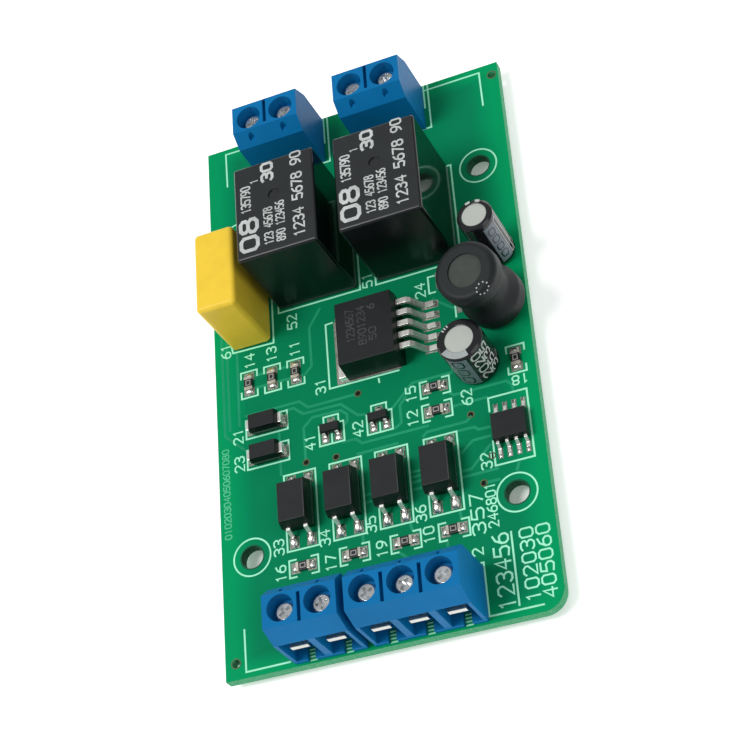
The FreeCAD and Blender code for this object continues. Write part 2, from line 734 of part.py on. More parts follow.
# Relays: a sealed cover over a base that carries the pins
for label, relay_x in (("1", "relay_a_x"), ("2", "relay_b_x")):
    cover = new_body(f"RelayCover{label}")
    plan = body_sketch(cover, f"RelayPlan{label}", "XY_Plane", "relay_foot")
    rectangle(plan, ("-relay_w / 2", "relay_w / 2"), ("-relay_l / 2", "relay_l / 2"))
    pad(cover, plan, "relay_top - relay_foot")
    rim = num("relay_foot")
    round_edges(cover, [
        name for name in edges_where(cover.Shape, lambda p: True)
        if cover.Shape.getElement(name).CenterOfMass.z > rim + 1e-6
    ], "relay_edge")
    recess = body_sketch(cover, f"RelayRecess{label}", "XY_Plane", "relay_foot")
    half_w = "relay_w / 2 - relay_wall"
    half_l = "relay_l / 2 - relay_wall"
    rectangle(recess, (f"-({half_w})", half_w), (f"-({half_l})", half_l))
    pocket(cover, recess, "relay_base_t", upward=True)
    dimple = body_sketch(cover, f"RelayDimple{label}", "XY_Plane", "relay_top")
    circle(dimple, "relay_dimple_r", "0", "relay_dimple_y")
    pocket(cover, dimple, "relay_wall / 3")
    seat(cover, relay_x, "relay_y")
    keep(cover, f"relay_cover_{label}")

    plate = box(f"RelayPlate{label}", (f"-({half_w})", half_w), (f"-({half_l})", half_l),
                ("relay_foot", "relay_foot + relay_base_t"))
    feet = []
    for side_x in (-1, 1):
        for side_y in (-1, 1):
            foot_x = f"{side_x} * ({half_w} - relay_wall)"
            foot_y = f"{side_y} * relay_foot_y"
            feet.append(box(
                f"RelayFoot{label}{side_x + 1}{side_y + 1}",
                (f"{foot_x} - relay_wall", f"{foot_x} + relay_wall"),
                (f"{foot_y} - relay_wall", f"{foot_y} + relay_wall"),
                ("0", "relay_foot"),
            ))
    base = join(f"RelayBase{label}", [plate] + feet)
    seat(base, relay_x, "relay_y")
    keep(base, f"relay_base_{label}")

    pins = []
    for pin_number, (across, along) in enumerate(RELAY_PINS):
        pins.append(box(
            f"RelayPin{label}{pin_number}",
            (f"relay_pin_x * {across} - relay_pin_w / 2", f"relay_pin_x * {across} + relay_pin_w / 2"),
            (f"relay_pin_y * {along} - relay_pin_t / 2", f"relay_pin_y * {along} + relay_pin_t / 2"),
            ("-board_t - lead_out", "relay_foot"),
        ))
    pin_group = group(f"RelayPins{label}", pins)
    seat(pin_group, relay_x, "relay_y")
    keep(pin_group, f"relay_pins_{label}")


# Film capacitor
film = new_body("Film")
film_plan = body_sketch(film, "FilmPlan", "XY_Plane", "film_foot")
rectangle(film_plan, ("-film_w / 2", "film_w / 2"), ("-film_l / 2", "film_l / 2"))
pad(film, film_plan, "film_top - film_foot")
film_rim = num("film_foot")
round_edges(film, [
    name for name in edges_where(film.Shape, lambda p: True)
    if film.Shape.getElement(name).CenterOfMass.z > film_rim + 1e-6
], "film_edge")
seat(film, "film_x", "film_y")
keep(film, "film_capacitor_body")


# Electrolytic capacitors: a crimped can in a shrunk sleeve, closed by a rubber seal
def electrolytic(prefix, name):
    outer = f"{name}_d / 2"
    can_r = f"{outer} - sleeve_t"
    top = f"{name}_top"
    bead_low = "can_foot + bead_up - bead_in"
    bead_high = "can_foot + bead_up + bead_in"
    can = new_body(prefix + "Can")
    can_profile = body_sketch(can, prefix + "CanProfile", "XZ_Plane")
    polygon(can_profile, [
        ("0", "can_foot + seal_t"),
        (f"{can_r} - bead_in", "can_foot + seal_t"),
        (f"{can_r} - bead_in", "can_foot"),
        (can_r, "can_foot"),
        (can_r, bead_low),
        (f"{can_r} - bead_in", "can_foot + bead_up"),
        (can_r, bead_high),
        (can_r, f"{top} - sleeve_t - bead_in"),
        (f"{can_r} - bead_in", f"{top} - sleeve_t"),
        ("0", f"{top} - sleeve_t"),
    ])
    revolve(can, can_profile)
    seat(can, f"{name}_x", f"{name}_y")
    keep(can, f"{name}_capacitor_can")

    sleeve = new_body(prefix + "Sleeve")
    sleeve_profile = body_sketch(sleeve, prefix + "SleeveProfile", "XZ_Plane")
    polygon(sleeve_profile, [
        (can_r, "can_foot"),
        (outer, "can_foot"),
        (outer, f"{bead_low} - sleeve_t / 2"),
        (f"{outer} - bead_in", "can_foot + bead_up"),
        (outer, f"{bead_high} + sleeve_t / 2"),
        (outer, f"{top} - bead_in"),
        (f"{outer} - bead_in", top),
        (f"{outer} - {name}_lap", top),
        (f"{outer} - {name}_lap", f"{top} - sleeve_t"),
        (f"{can_r} - bead_in", f"{top} - sleeve_t"),
        (can_r, f"{top} - sleeve_t - bead_in"),
        (can_r, bead_high),
        (f"{can_r} - bead_in", "can_foot + bead_up"),
        (can_r, bead_low),
    ])
    revolve(sleeve, sleeve_profile)
    seat(sleeve, f"{name}_x", f"{name}_y")
    keep(sleeve, f"{name}_capacitor_sleeve")

    seal = rod(prefix + "Seal", f"{can_r} - bead_in", "0", "0", ("0", "can_foot + seal_t"))
    seat(seal, f"{name}_x", f"{name}_y")
    keep(seal, f"{name}_capacitor_seal")


electrolytic("Input", "input")
electrolytic("Output", "output")


# Coil: a drum core with its winding, shrink-wrapped and soldered in with a lean
def coil_body(name, points):
    body = new_body(name)
    profile = body_sketch(body, name + "Profile", "XZ_Plane")
    polygon(profile, points)
    revolve(body, profile)
    return body


slope = math.radians(num("coil_lean"))
toward = V(math.cos(math.radians(num("coil_toward"))), math.sin(math.radians(num("coil_toward"))), 0)
lean = FreeCAD.Rotation(Z_AXIS.cross(toward), num("coil_lean"))
coil_rise = num("coil_lift") + num("coil_r") * math.sin(slope)
flange_r = "coil_r - coil_sleeve"
flange_low = "coil_sleeve + coil_flange"
flange_high = "coil_l - coil_sleeve - coil_flange"
wound_r = "coil_waist - coil_sleeve"
low_face = "coil_sleeve"
high_face = "coil_l - coil_sleeve"
core = coil_body("CoilCore", [
    ("0", low_face),
    (f"{flange_r} - coil_bevel", low_face),
    (flange_r, f"{low_face} + coil_bevel"),
    (flange_r, flange_low),
    ("coil_core", flange_low),
    ("coil_core", flange_high),
    (flange_r, flange_high),
    (flange_r, f"{high_face} - coil_bevel"),
    (f"{flange_r} - coil_bevel", high_face),
    ("0", high_face),
])
winding = coil_body("CoilWinding", [
    ("coil_core", flange_low),
    (wound_r, flange_low),
    (wound_r, flange_high),
    ("coil_core", flange_high),
])
wrap = coil_body("CoilWrap", [
    ("coil_open", "0"),
    ("coil_r", "0"),
    ("coil_r", f"{flange_low} + coil_sleeve"),
    ("coil_waist", f"{flange_low} + coil_r / 2"),
    ("coil_waist", f"{flange_high} - coil_r / 2"),
    ("coil_r", f"{flange_high} - coil_sleeve"),
    ("coil_r", "coil_l"),
    ("coil_open", "coil_l"),
    ("coil_open", high_face),
    (f"{flange_r} - coil_bevel", high_face),
    (flange_r, f"{high_face} - coil_bevel"),
    (flange_r, flange_high),
    (wound_r, flange_high),
    (wound_r, flange_low),
    (flange_r, flange_low),
    (flange_r, f"{low_face} + coil_bevel"),
    (f"{flange_r} - coil_bevel", low_face),
    ("coil_open", low_face),
])
round_edges(wrap, rims(wrap.Shape, "coil_waist"), "coil_hollow")
round_edges(wrap, rims(wrap.Shape, "coil_r"), "coil_round")
for item, label in ((core, "coil_core"), (winding, "coil_winding"), (wrap, "coil_sleeve")):
    seat(item, "coil_x", "coil_y", str(round(coil_rise, 6)), lean)
    keep(item, label)


# Round leads of the film capacitor, the electrolytics and the coil
def lead_pair(prefix, x, y, step, tops):
    pair = []
    for side, top in zip((-1, 1), tops):
        lead = rod(f"{prefix}Lead{side + 1}", "lead_d / 2", f"{side} * {step[0]}", f"{side} * {step[1]}",
                   ("-board_t - lead_out", top))
        pair.append(lead)
    leads = group(prefix + "Leads", pair)
    seat(leads, x, y)
    return leads


def coil_lead_top(side):
    """Height of the leaning underside at a lead, less the rise across the lead itself."""
    reach = side * num("coil_pitch / 2") * toward.x + num("lead_d / 2")
    return str(round(coil_rise - math.tan(slope) * reach, 6))


film_leads = lead_pair("Film", "film_x", "film_y", ("0", "film_pitch / 2"), ("film_foot", "film_foot"))
keep(film_leads, "film_capacitor_leads")
input_leads = lead_pair("Input", "input_x", "input_y", ("input_pitch / 2", "0"), ("0", "0"))
keep(input_leads, "input_capacitor_leads")
output_leads = lead_pair("Output", "output_x", "output_y", ("output_pitch / 2", "0"), ("0", "0"))
keep(output_leads, "output_capacitor_leads")
coil_lead_tops = (coil_lead_top(-1), coil_lead_top(1))
coil_leads = lead_pair("Coil", "coil_x", "coil_y", ("coil_pitch / 2", "0"), coil_lead_tops)
keep(coil_leads, "coil_leads")


# Regulator: a moulded body over a metal tab, five bent leads on one side
regulator = new_body("Regulator")
reg_side = body_sketch(regulator, "RegulatorSide", "XZ_Plane")
polygon(reg_side, [
    ("-reg_w / 2", "chip_foot"),
    ("reg_w / 2 - reg_draft", "chip_foot"),
    ("reg_w / 2", "reg_lead_z"),
    ("reg_w / 2 - reg_draft", "reg_top"),
    ("-reg_w / 2 + reg_draft", "reg_top"),
    ("-reg_w / 2", "tab_t"),
])
pad(regulator, reg_side, "reg_l", symmetric=True)
tab_room = body_sketch(regulator, "RegulatorTabRoom", "XZ_Plane")
rectangle(tab_room, ("-reg_w / 2 - tab_out", "reg_w / 2 - tab_in"), ("0", "tab_t"))
pocket(regulator, tab_room, "reg_l - 2 * tab_side", symmetric=True)
seat(regulator, "reg_x", "reg_y")
keep(regulator, "regulator_body")
under_body = ("-reg_l / 2 + tab_side", "reg_l / 2 - tab_side")
tab = join("RegulatorTab", [
    box("TabUnder", ("-reg_w / 2", "reg_w / 2 - tab_in"), under_body, ("0", "tab_t")),
    box("TabOut", ("-reg_w / 2 - tab_out", "-reg_w / 2"), ("-reg_l / 2", "reg_l / 2"), ("0", "tab_t")),
])
seat(tab, "reg_x", "reg_y")
keep(tab, "regulator_tab")
reg_leads = []
reg_bends = ("reg_knee", "reg_lead_l", "reg_foot", "reg_lead_z", "reg_lead_t", "reg_bend")
for k in range(5):
    lead = bent_strip(f"RegulatorLead{k}", eased_points("reg_w / 2", *reg_bends), "reg_lead_w")
    place(lead, y=f"reg_pitch * {k - 2}")
    reg_leads.append(lead)
reg_lead_group = group("RegulatorLeads", reg_leads)
seat(reg_lead_group, "reg_x", "reg_y")
keep(reg_lead_group, "regulator_leads")


# Packages with leads along two sides: driver chip, optocouplers and transistors
def lead_row(prefix, width, points, offsets):
    """Leads at offsets along x, turned to point away from the body on the side given with each."""
    row = []
    for k, (offset, side) in enumerate(offsets):
        lead = bent_strip(f"{prefix}{k}", points, width, along_y=True)
        if side < 0:
            lead.Placement = FreeCAD.Placement(V(), FreeCAD.Rotation(Z_AXIS, 180))
        place(lead, offset)
        row.append(lead)
    return row


chip = drafted_block("Chip", "chip_w", "chip_l", "chip_foot", "chip_top", "chip_lead_t / 2")
seat(chip, "chip_x", "chip_y")
keep(chip, "driver_chip_body")
chip_middle = "(chip_foot + chip_top + chip_lead_t) / 2"
chip_points = gull_points("chip_l / 2", "chip_lead_l", "chip_lead_foot", chip_middle, "chip_lead_t")
chip_offsets = [(f"chip_pitch * {k - 1.5}", side) for side in (-1, 1) for k in range(4)]
chip_leads = group("ChipLeads", lead_row("ChipLead", "chip_lead_w", chip_points, chip_offsets))
seat(chip_leads, "chip_x", "chip_y")
keep(chip_leads, "driver_chip_leads")

opto_bodies = []
opto_leads = []
opto_middle = "(opto_foot + opto_top + opto_lead_t) / 2"
opto_points = gull_points("opto_l / 2", "opto_lead_l", "opto_lead_foot", opto_middle, "opto_lead_t")
opto_offsets = [(f"opto_pitch * {half}", side) for side in (-1, 1) for half in (-0.5, 0.5)]
for k, opto_x in enumerate(OPTOS):
    opto = drafted_block(f"Opto{k}", "opto_w", "opto_l", "opto_foot", "opto_top", "opto_draft")
    place(opto, opto_x, "opto_y")
    opto_bodies.append(opto)
    legs = lead_row(f"OptoLead{k}", "opto_lead_w", opto_points, opto_offsets)
    legs_group = group(f"OptoLegs{k}", legs)
    place(legs_group, opto_x, "opto_y")
    opto_leads.append(legs_group)
opto_group = group("Optocouplers", opto_bodies)
seat(opto_group)
keep(opto_group, "optocoupler_bodies")
opto_lead_group = group("OptocouplerLeads", opto_leads)
seat(opto_lead_group)
keep(opto_lead_group, "optocoupler_leads")

trans_bodies = []
trans_leads = []
trans_middle = "(trans_foot + trans_top + trans_lead_t) / 2"
trans_points = gull_points("trans_l / 2", "trans_lead_l", "trans_lead_foot", trans_middle, "trans_lead_t")
trans_offsets = [("trans_pitch * -0.5", -1), ("trans_pitch * 0.5", -1), ("0", 1)]
for k, name in enumerate(("trans_one", "trans_two")):
    block = drafted_block(f"Transistor{k}", "trans_w", "trans_l", "trans_foot", "trans_top", "trans_draft")
    place(block, name + "_x", name + "_y")
    trans_bodies.append(block)
    legs = lead_row(f"TransistorLead{k}", "trans_lead_w", trans_points, trans_offsets)
    legs_group = group(f"TransistorLegs{k}", legs)
    place(legs_group, name + "_x", name + "_y")
    trans_leads.append(legs_group)
trans_group = group("Transistors", trans_bodies)
seat(trans_group)
keep(trans_group, "transistor_bodies")
trans_lead_group = group("TransistorLeads", trans_leads)
seat(trans_lead_group)
keep(trans_lead_group, "transistor_leads")


# Diodes: moulded bodies whose flat leads fold down the ends to the board
diode_bodies = []
diode_leads = []
diode_reach = "diode_w / 2 + diode_lead_l"
diode_middle = "(diode_foot + diode_top) / 2"
diode_points = [
    ("diode_w / 2", diode_middle),
    (f"{diode_reach} - diode_lead_t", diode_middle),
    (f"{diode_reach} - diode_lead_t", "diode_lead_t"),
    ("diode_w / 2 - diode_lead_l", "diode_lead_t"),
    ("diode_w / 2 - diode_lead_l", "0"),
    (diode_reach, "0"),
    (diode_reach, f"{diode_middle} + diode_lead_t"),
    ("diode_w / 2", f"{diode_middle} + diode_lead_t"),
]
for k, name in enumerate(("diode_one", "diode_three", "diode_four")):
    diode = drafted_block(f"Diode{k}", "diode_w", "diode_l", "diode_foot", "diode_top", "diode_draft")
    place(diode, name + "_x", name + "_y")
    diode_bodies.append(diode)
    ends = []
    for side in (-1, 1):
        end = bent_strip(f"DiodeLead{k}{side + 1}", diode_points, "diode_lead_w")
        if side < 0:
            end.Placement = FreeCAD.Placement(V(), FreeCAD.Rotation(Z_AXIS, 180))
        ends.append(end)
    ends_group = group(f"DiodeEnds{k}", ends)
    place(ends_group, name + "_x", name + "_y")
    diode_leads.append(ends_group)
diode_group = group("Diodes", diode_bodies)
seat(diode_group)
keep(diode_group, "diode_bodies")
diode_lead_group = group("DiodeLeads", diode_leads)
seat(diode_lead_group)
keep(diode_lead_group, "diode_leads")


# Chip resistors: a ceramic body between two plated end caps
resistor_bodies = []
resistor_caps = []
turned_resistors = [(which, 0) for which in RESISTORS_ALONG_X] + [(which, 90) for which in RESISTORS_ALONG_Y]
for k, (which, turn) in enumerate(turned_resistors):
    half = "(res_l / 2 - cap_l)"
    across = ("-res_w / 2", "res_w / 2")
    block = box(f"Resistor{k}", (f"-{half}", half), across, ("cap_t", "res_t"))
    ends = [
        box(f"ResistorCap{k}A", ("-res_l / 2", f"-{half}"), across, ("0", "res_t + cap_t")),
        box(f"ResistorCap{k}B", (half, "res_l / 2"), across, ("0", "res_t + cap_t")),
    ]
    for name, members, pile in (("Ceramic", [block], resistor_bodies), ("Caps", ends, resistor_caps)):
        unit = group(f"Resistor{name}{k}", members)
        unit.Placement = FreeCAD.Placement(V(), FreeCAD.Rotation(Z_AXIS, turn))
        place(unit, f"res_{which}_x", f"res_{which}_y")
        pile.append(unit)
resistor_group = group("Resistors", resistor_bodies)
seat(resistor_group)
keep(resistor_group, "resistor_bodies")
cap_group = group("ResistorCaps", resistor_caps)
seat(cap_group)
keep(cap_group, "resistor_end_caps")


# Every object must have worked before any file is written
doc.recompute()
for item in doc.Objects:
    if "Invalid" in item.State or "Error" in item.State:
        raise RuntimeError(f"{item.Name} did not recompute: {item.State}")
for item in parts:
    if item.Shape.isNull() or not item.Shape.isValid() or not item.Shape.Solids:
        raise RuntimeError(f"{item.Label} has no valid shape")

os.makedirs("parts", exist_ok=True)
for item in parts:
    item.Shape.exportStep(f"parts/{item.Label}.step")
whole = Part.makeCompound([item.Shape for item in parts]).BoundBox
print(len(parts), "sub-parts", round(whole.XLength, 3), round(whole.YLength, 3), round(whole.ZLength, 3))
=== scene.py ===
import itertools
import math

import bmesh
import bpy
from mathutils import Matrix, Vector
from mathutils.bvhtree import BVHTree


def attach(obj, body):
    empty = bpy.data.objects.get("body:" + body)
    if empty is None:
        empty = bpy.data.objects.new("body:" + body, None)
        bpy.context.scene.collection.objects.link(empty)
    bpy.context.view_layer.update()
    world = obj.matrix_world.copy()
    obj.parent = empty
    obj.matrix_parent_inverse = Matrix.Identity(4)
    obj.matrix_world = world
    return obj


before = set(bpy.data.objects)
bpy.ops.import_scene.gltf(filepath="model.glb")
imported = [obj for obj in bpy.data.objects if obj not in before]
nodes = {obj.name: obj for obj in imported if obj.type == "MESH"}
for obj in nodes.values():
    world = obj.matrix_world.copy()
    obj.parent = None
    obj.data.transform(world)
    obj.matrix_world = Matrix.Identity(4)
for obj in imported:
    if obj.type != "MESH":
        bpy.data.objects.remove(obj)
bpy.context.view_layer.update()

# Sizes in millimetres. Board places are measured from the board's low corner, heights from its top face.
MM = 0.001
BOARD_W = 46.6
BOARD_L = 85.5
BOARD_T = 1.6
BELOW = -BOARD_T
LEAD_OUT = 1.5
INK_T = 0.02
INK_W = 0.25
TRACK_T = 0.01
TRACK_W = 0.4
PAD_T = 0.03
PRINT_T = 0.003
FILM_T = 0.012
STRIPE_T = 0.01
DISC_T = 0.006
HAIR = 0.0002
ROOT = "module"


def at(x, y, z=0.0):
    """A place on the board, in metres of the shared frame."""
    return Vector(((x - BOARD_W / 2) * MM, (y - BOARD_L / 2) * MM, (z + BOARD_T + LEAD_OUT) * MM))


def round_can(centre_x, centre_y, radius):
    """Places on an upright can: u runs round it from azimuth zero, v is the height, w stands off its side."""
    def place(u, v, w):
        angle = u / radius
        reach = radius + w
        return at(centre_x + reach * math.cos(angle), centre_y + reach * math.sin(angle), v)
    return place


# Materials
def new_material(name):
    material = bpy.data.materials.new(name)
    material.use_nodes = True
    tree = material.node_tree
    shader = tree.nodes["Principled BSDF"]
    return material, tree, shader


def link(tree, source, target):
    tree.links.new(source, target)


def node(tree, kind, **values):
    made = tree.nodes.new(kind)
    for key, value in values.items():
        setattr(made, key, value)
    return made


def math_node(tree, operation, first, second=None, clamp=False):
    made = node(tree, "ShaderNodeMath", operation=operation, use_clamp=clamp)
    for socket, value in zip(made.inputs, (first, second)):
        if isinstance(value, (int, float)):
            socket.default_value = value
        elif value is not None:
            link(tree, value, socket)
    return made.outputs[0]


def product(tree, first, second):
    return math_node(tree, "MULTIPLY", first, second)


def inverse(tree, source):
    return math_node(tree, "SUBTRACT", 1.0, source)


def coordinates(tree, kind):
    """The x, y and z outputs of one kind of texture coordinate."""
    coords = node(tree, "ShaderNodeTexCoord")
    split = node(tree, "ShaderNodeSeparateXYZ")
    link(tree, coords.outputs[kind], split.inputs["Vector"])
    return split.outputs


NOISE_ROUGH = 0.55


def object_noise(tree, scale, detail=3.0):
    """Noise in the object's own metres, so that it stays on the surface."""
    coords = node(tree, "ShaderNodeTexCoord")
    noise = node(tree, "ShaderNodeTexNoise")
    noise.inputs["Scale"].default_value = scale
    noise.inputs["Detail"].default_value = detail
    noise.inputs["Roughness"].default_value = NOISE_ROUGH
    link(tree, coords.outputs["Object"], noise.inputs["Vector"])
    return noise.outputs["Fac"]


def ramp(tree, source, stops):
    made = node(tree, "ShaderNodeValToRGB")
    while len(made.color_ramp.elements) < len(stops):
        made.color_ramp.elements.new(0.5)
    for element, (place, colour) in zip(made.color_ramp.elements, stops):
        element.position = place
        element.color = (*colour, 1)
    link(tree, source, made.inputs["Fac"])
    return made.outputs["Color"]


def spread(tree, source, low, high):
    made = node(tree, "ShaderNodeMapRange")
    made.inputs["To Min"].default_value = low
    made.inputs["To Max"].default_value = high
    link(tree, source, made.inputs["Value"])
    return made.outputs["Result"]


def mix(tree, factor, first, second):
    made = node(tree, "ShaderNodeMix", data_type="RGBA")
    link(tree, factor, made.inputs[0])
    link(tree, first, made.inputs[6])
    link(tree, second, made.inputs[7])
    return made.outputs[2]


def facing_up(tree, low=0.5, high=0.9):
    """One on level faces, zero on upright ones."""
    slope = math_node(tree, "ABSOLUTE", coordinates(tree, "Normal")["Z"])
    level = node(tree, "ShaderNodeMapRange", clamp=True)
    level.inputs["From Min"].default_value = low
    level.inputs["From Max"].default_value = high
    link(tree, slope, level.inputs["Value"])
    return level.outputs["Result"]


def bump(tree, shader, source, strength, distance):
    made = node(tree, "ShaderNodeBump")
    made.inputs["Strength"].default_value = strength
    made.inputs["Distance"].default_value = distance
    link(tree, source, made.inputs["Height"])
    link(tree, made.outputs["Normal"], shader.inputs["Normal"])


def shade(colour, factor):
    return tuple(min(1.0, channel * factor) for channel in colour)


CLOUD_GRAIN = 0.25
FINE_GRAIN = 4
GLOSSIEST = 0.8
DULLEST = 1.25


def surface(name, colour, rough, metallic=0.0, mottle=0.08, grain=900.0, dents=0.15, depth=0.00002,
            specular=0.5):
    """A finish with mottled colour, uneven gloss and a fine bump."""
    material, tree, shader = new_material(name)
    cloud = object_noise(tree, grain * CLOUD_GRAIN)
    fine = object_noise(tree, grain * FINE_GRAIN, detail=6.0)
    stops = [(0.25, shade(colour, 1 - mottle)), (0.75, shade(colour, 1 + mottle))]
    link(tree, ramp(tree, cloud, stops), shader.inputs["Base Color"])
    link(tree, spread(tree, fine, rough * GLOSSIEST, rough * DULLEST), shader.inputs["Roughness"])
    bump(tree, shader, fine, dents, depth)
    shader.inputs["Metallic"].default_value = metallic
    shader.inputs["Specular IOR Level"].default_value = specular
    return material


materials = {
    "terminal": surface("terminal_blue", (0.002, 0.152, 0.385), 0.42, mottle=0.1, grain=500, dents=0.08,
                        specular=0.09),
    "film": surface("film_yellow", (0.88, 0.6, 0.045), 0.4, mottle=0.05, grain=1500, dents=0.5,
                    specular=0.25),
    "can": surface("can_aluminium", (0.5, 0.53, 0.49), 0.5, metallic=0.35, mottle=0.05, dents=0.2),
    "sleeve": surface("sleeve_black", (0.008, 0.009, 0.011), 0.16, mottle=0.2, grain=500, dents=0.2),
    "wrap": surface("coil_wrap", (0.009, 0.012, 0.013), 0.5, mottle=0.2, grain=700, dents=0.3,
                    specular=0.24),
    "rubber": surface("seal_rubber", (0.02, 0.02, 0.02), 0.7),
    "ferrite": surface("ferrite_grey", (0.055, 0.063, 0.057), 0.7, mottle=0.12, grain=2500, dents=0.5,
                       specular=0.2),
    "copper": surface("copper_wire", (0.6, 0.22, 0.08), 0.3, metallic=1.0),
    "tin": surface("tinned_metal", (0.86, 0.85, 0.79), 0.22, metallic=0.6, mottle=0.2, grain=6000,
                   dents=0.4),
    # Its strong mottle is partly random tone and partly painted glints and dark reflections on the solder.
    "solder": surface("solder", (0.64, 0.63, 0.59), 0.14, metallic=0.95, mottle=0.55, grain=9000,
                      dents=0.6),
    "pad": surface("pad_grey", (0.34, 0.34, 0.3), 0.35, metallic=0.6, mottle=0.4, grain=6000, dents=0.4),
    "screw": surface("screw_steel", (0.68, 0.7, 0.71), 0.21, metallic=0.9, mottle=0.3, grain=1400,
                     dents=0.3, depth=0.00003),
    "clamp": surface("clamp_metal", (0.62, 0.61, 0.57), 0.32, metallic=1.0, mottle=0.1, dents=0.4),
    "glaze": surface("resistor_glaze", (0.012, 0.012, 0.013), 0.3, mottle=0.2, grain=1500, dents=0.2),
    "cap_end": surface("resistor_ends", (0.58, 0.55, 0.48), 0.35, metallic=0.6, mottle=0.3, grain=3000,
                       dents=0.5),
    "mark": surface("resistor_mark", (0.3, 0.29, 0.28), 0.5, mottle=0.15, grain=1500, dents=0.2),
    "ink": surface("silkscreen_ink", (0.38, 0.92, 0.64), 0.5, mottle=0.1, grain=1500, dents=0.3,
                   specular=0.2),
    "thin_ink": surface("silkscreen_thin", (0.1, 0.55, 0.3), 0.5, mottle=0.2, grain=1500, dents=0.3,
                        specular=0.2),
    "print": surface("white_print", (0.5, 0.53, 0.52), 0.5, mottle=0.2, grain=2500, dents=0.2,
                     specular=0.3),
    # Also paints the highlight line along the optocouplers' top edges.
    "faint": surface("faint_print_and_highlight", (0.05, 0.053, 0.058), 0.5, mottle=0.4, grain=2500, dents=0.2,
                     specular=0.3),
    "stripe": surface("grey_stripe", (0.16, 0.2, 0.23), 0.35, mottle=0.3, dents=0.2, specular=0.4),
    "pale": surface("pale_stripe", (0.34, 0.38, 0.38), 0.35, mottle=0.2, dents=0.2, specular=0.4),
    "track": surface("track_mask", (0.015, 0.3, 0.145), 0.4, mottle=0.12, grain=600, dents=0.1,
                     specular=0.08),
    "rim": surface("hole_rim", (0.01, 0.1, 0.05), 0.5, mottle=0.3, dents=0.2, specular=0.1),
    # Near-black discs over the via holes: painted shade of the holes.
    "hole": surface("via_shade_dark", (0.008, 0.012, 0.008), 0.6, specular=0.1),
    "via": surface("via_rim", (0.1, 0.12, 0.05), 0.5, mottle=0.3, grain=1500, dents=0.3, specular=0.3),
}


def band(tree, coordinate, low, high, soft):
    """One inside a band of one axis, given in board millimetres from its middle, zero outside it."""
    away = math_node(tree, "ABSOLUTE", math_node(tree, "SUBTRACT", coordinate, (low + high) / 2 * MM))
    falloff = node(tree, "ShaderNodeMapRange", clamp=True)
    falloff.inputs["From Min"].default_value = (high - low) / 2 * MM
    falloff.inputs["From Max"].default_value = ((high - low) / 2 - soft) * MM
    link(tree, away, falloff.inputs["Value"])
    return falloff.outputs["Result"]


def field(tree, axes, x_band, y_band):
    """One inside a rectangle of the board, zero outside it."""
    return product(tree, band(tree, axes["X"], *x_band), band(tree, axes["Y"], *y_band))


# Low end, high end and softness of the copper's field, and of what lies inside the cut rim
COPPER_X = (-21.8, 22.0, 3.6)
COPPER_Y = (-42.0, 42.0, 2.4)
INSIDE_X = (-22.0, 22.0, 0.3)
INSIDE_Y = (-41.5, 41.5, 0.3)


def board_material():
    """Solder mask: bright at the rim, darker over the copper, with pale cut edges and hole walls painted dark
    as their shade.
    """
    material, tree, shader = new_material("board_mask")
    axes = coordinates(tree, "Object")
    cloud = object_noise(tree, scale=90.0, detail=2.0)
    spots = product(tree, math_node(tree, "SUBTRACT", cloud, 0.5), 0.3)
    copper = field(tree, axes, COPPER_X, COPPER_Y)
    mask = ramp(tree, math_node(tree, "ADD", copper, spots, clamp=True), [
        (0.0, (0.001, 0.31, 0.11)),
        (0.6, (0.001, 0.25, 0.1)),
        (1.0, (0.002, 0.21, 0.09)),
    ])
    fine = object_noise(tree, scale=2500.0, detail=4.0)
    fibre = ramp(tree, fine, [(0.3, (0.03, 0.3, 0.13)), (0.7, (0.12, 0.42, 0.22))])
    # Near-black green on the walls of drilled holes: painted shade.
    painted_wall_shade = ramp(tree, fine, [(0.3, (0.006, 0.05, 0.024)), (0.7, (0.03, 0.12, 0.06))])
    inside = field(tree, axes, INSIDE_X, INSIDE_Y)
    upright = inverse(tree, facing_up(tree))
    cut = product(tree, inverse(tree, inside), upright)
    shaded_hole_walls = product(tree, inside, upright)
    link(tree, mix(tree, shaded_hole_walls, mix(tree, cut, mask, fibre), painted_wall_shade), shader.inputs["Base Color"])
    link(tree, spread(tree, fine, low=0.34, high=0.46), shader.inputs["Roughness"])
    bump(tree, shader, fine, strength=0.1, distance=0.00002)
    shader.inputs["Specular IOR Level"].default_value = 0.03
    return material


def moulded(name, top, side, top_rough, side_rough, end_rough, dents, specular):
    """Black moulding: satin on top, glossier on its sides and painted darker there as shade, with duller ends
    along y.
    """
    material, tree, shader = new_material(name)
    level = facing_up(tree, low=0.75, high=0.99)
    cloud = object_noise(tree, scale=300.0)
    fine = object_noise(tree, scale=5000.0, detail=6.0)
    on_top = ramp(tree, cloud, [(0.3, shade(top, 0.8)), (0.7, shade(top, 1.25))])
    # The upright faces take a darker copy of the colour than the top: painted shade.
    painted_side_shade = ramp(tree, cloud, [(0.3, shade(side, 0.7)), (0.7, shade(side, 1.3))])
    link(tree, mix(tree, level, painted_side_shade, on_top), shader.inputs["Base Color"])
    facing_ends = math_node(tree, "ABSOLUTE", coordinates(tree, "Normal")["Y"])
    gloss = node(tree, "ShaderNodeMix", data_type="FLOAT")
    gloss.inputs[3].default_value = top_rough
    link(tree, level, gloss.inputs[0])
    link(tree, spread(tree, facing_ends, side_rough, end_rough), gloss.inputs[2])
    link(tree, gloss.outputs[0], shader.inputs["Roughness"])
    bump(tree, shader, fine, dents, distance=0.00002)
    shader.inputs["Specular IOR Level"].default_value = specular
    return material


materials["board"] = board_material()
# Side colours darker than the tops: painted shade on the upright faces.
materials["relay"] = moulded("relay_black", top=(0.01, 0.013, 0.015), side=(0.003, 0.004, 0.005),
                             top_rough=0.42, side_rough=0.1, end_rough=0.26, dents=0.08, specular=0.45)
materials["package"] = moulded("package_black", top=(0.006, 0.008, 0.009), side=(0.003, 0.004, 0.005),
                               top_rough=0.5, side_rough=0.3, end_rough=0.35, dents=0.3, specular=0.34)


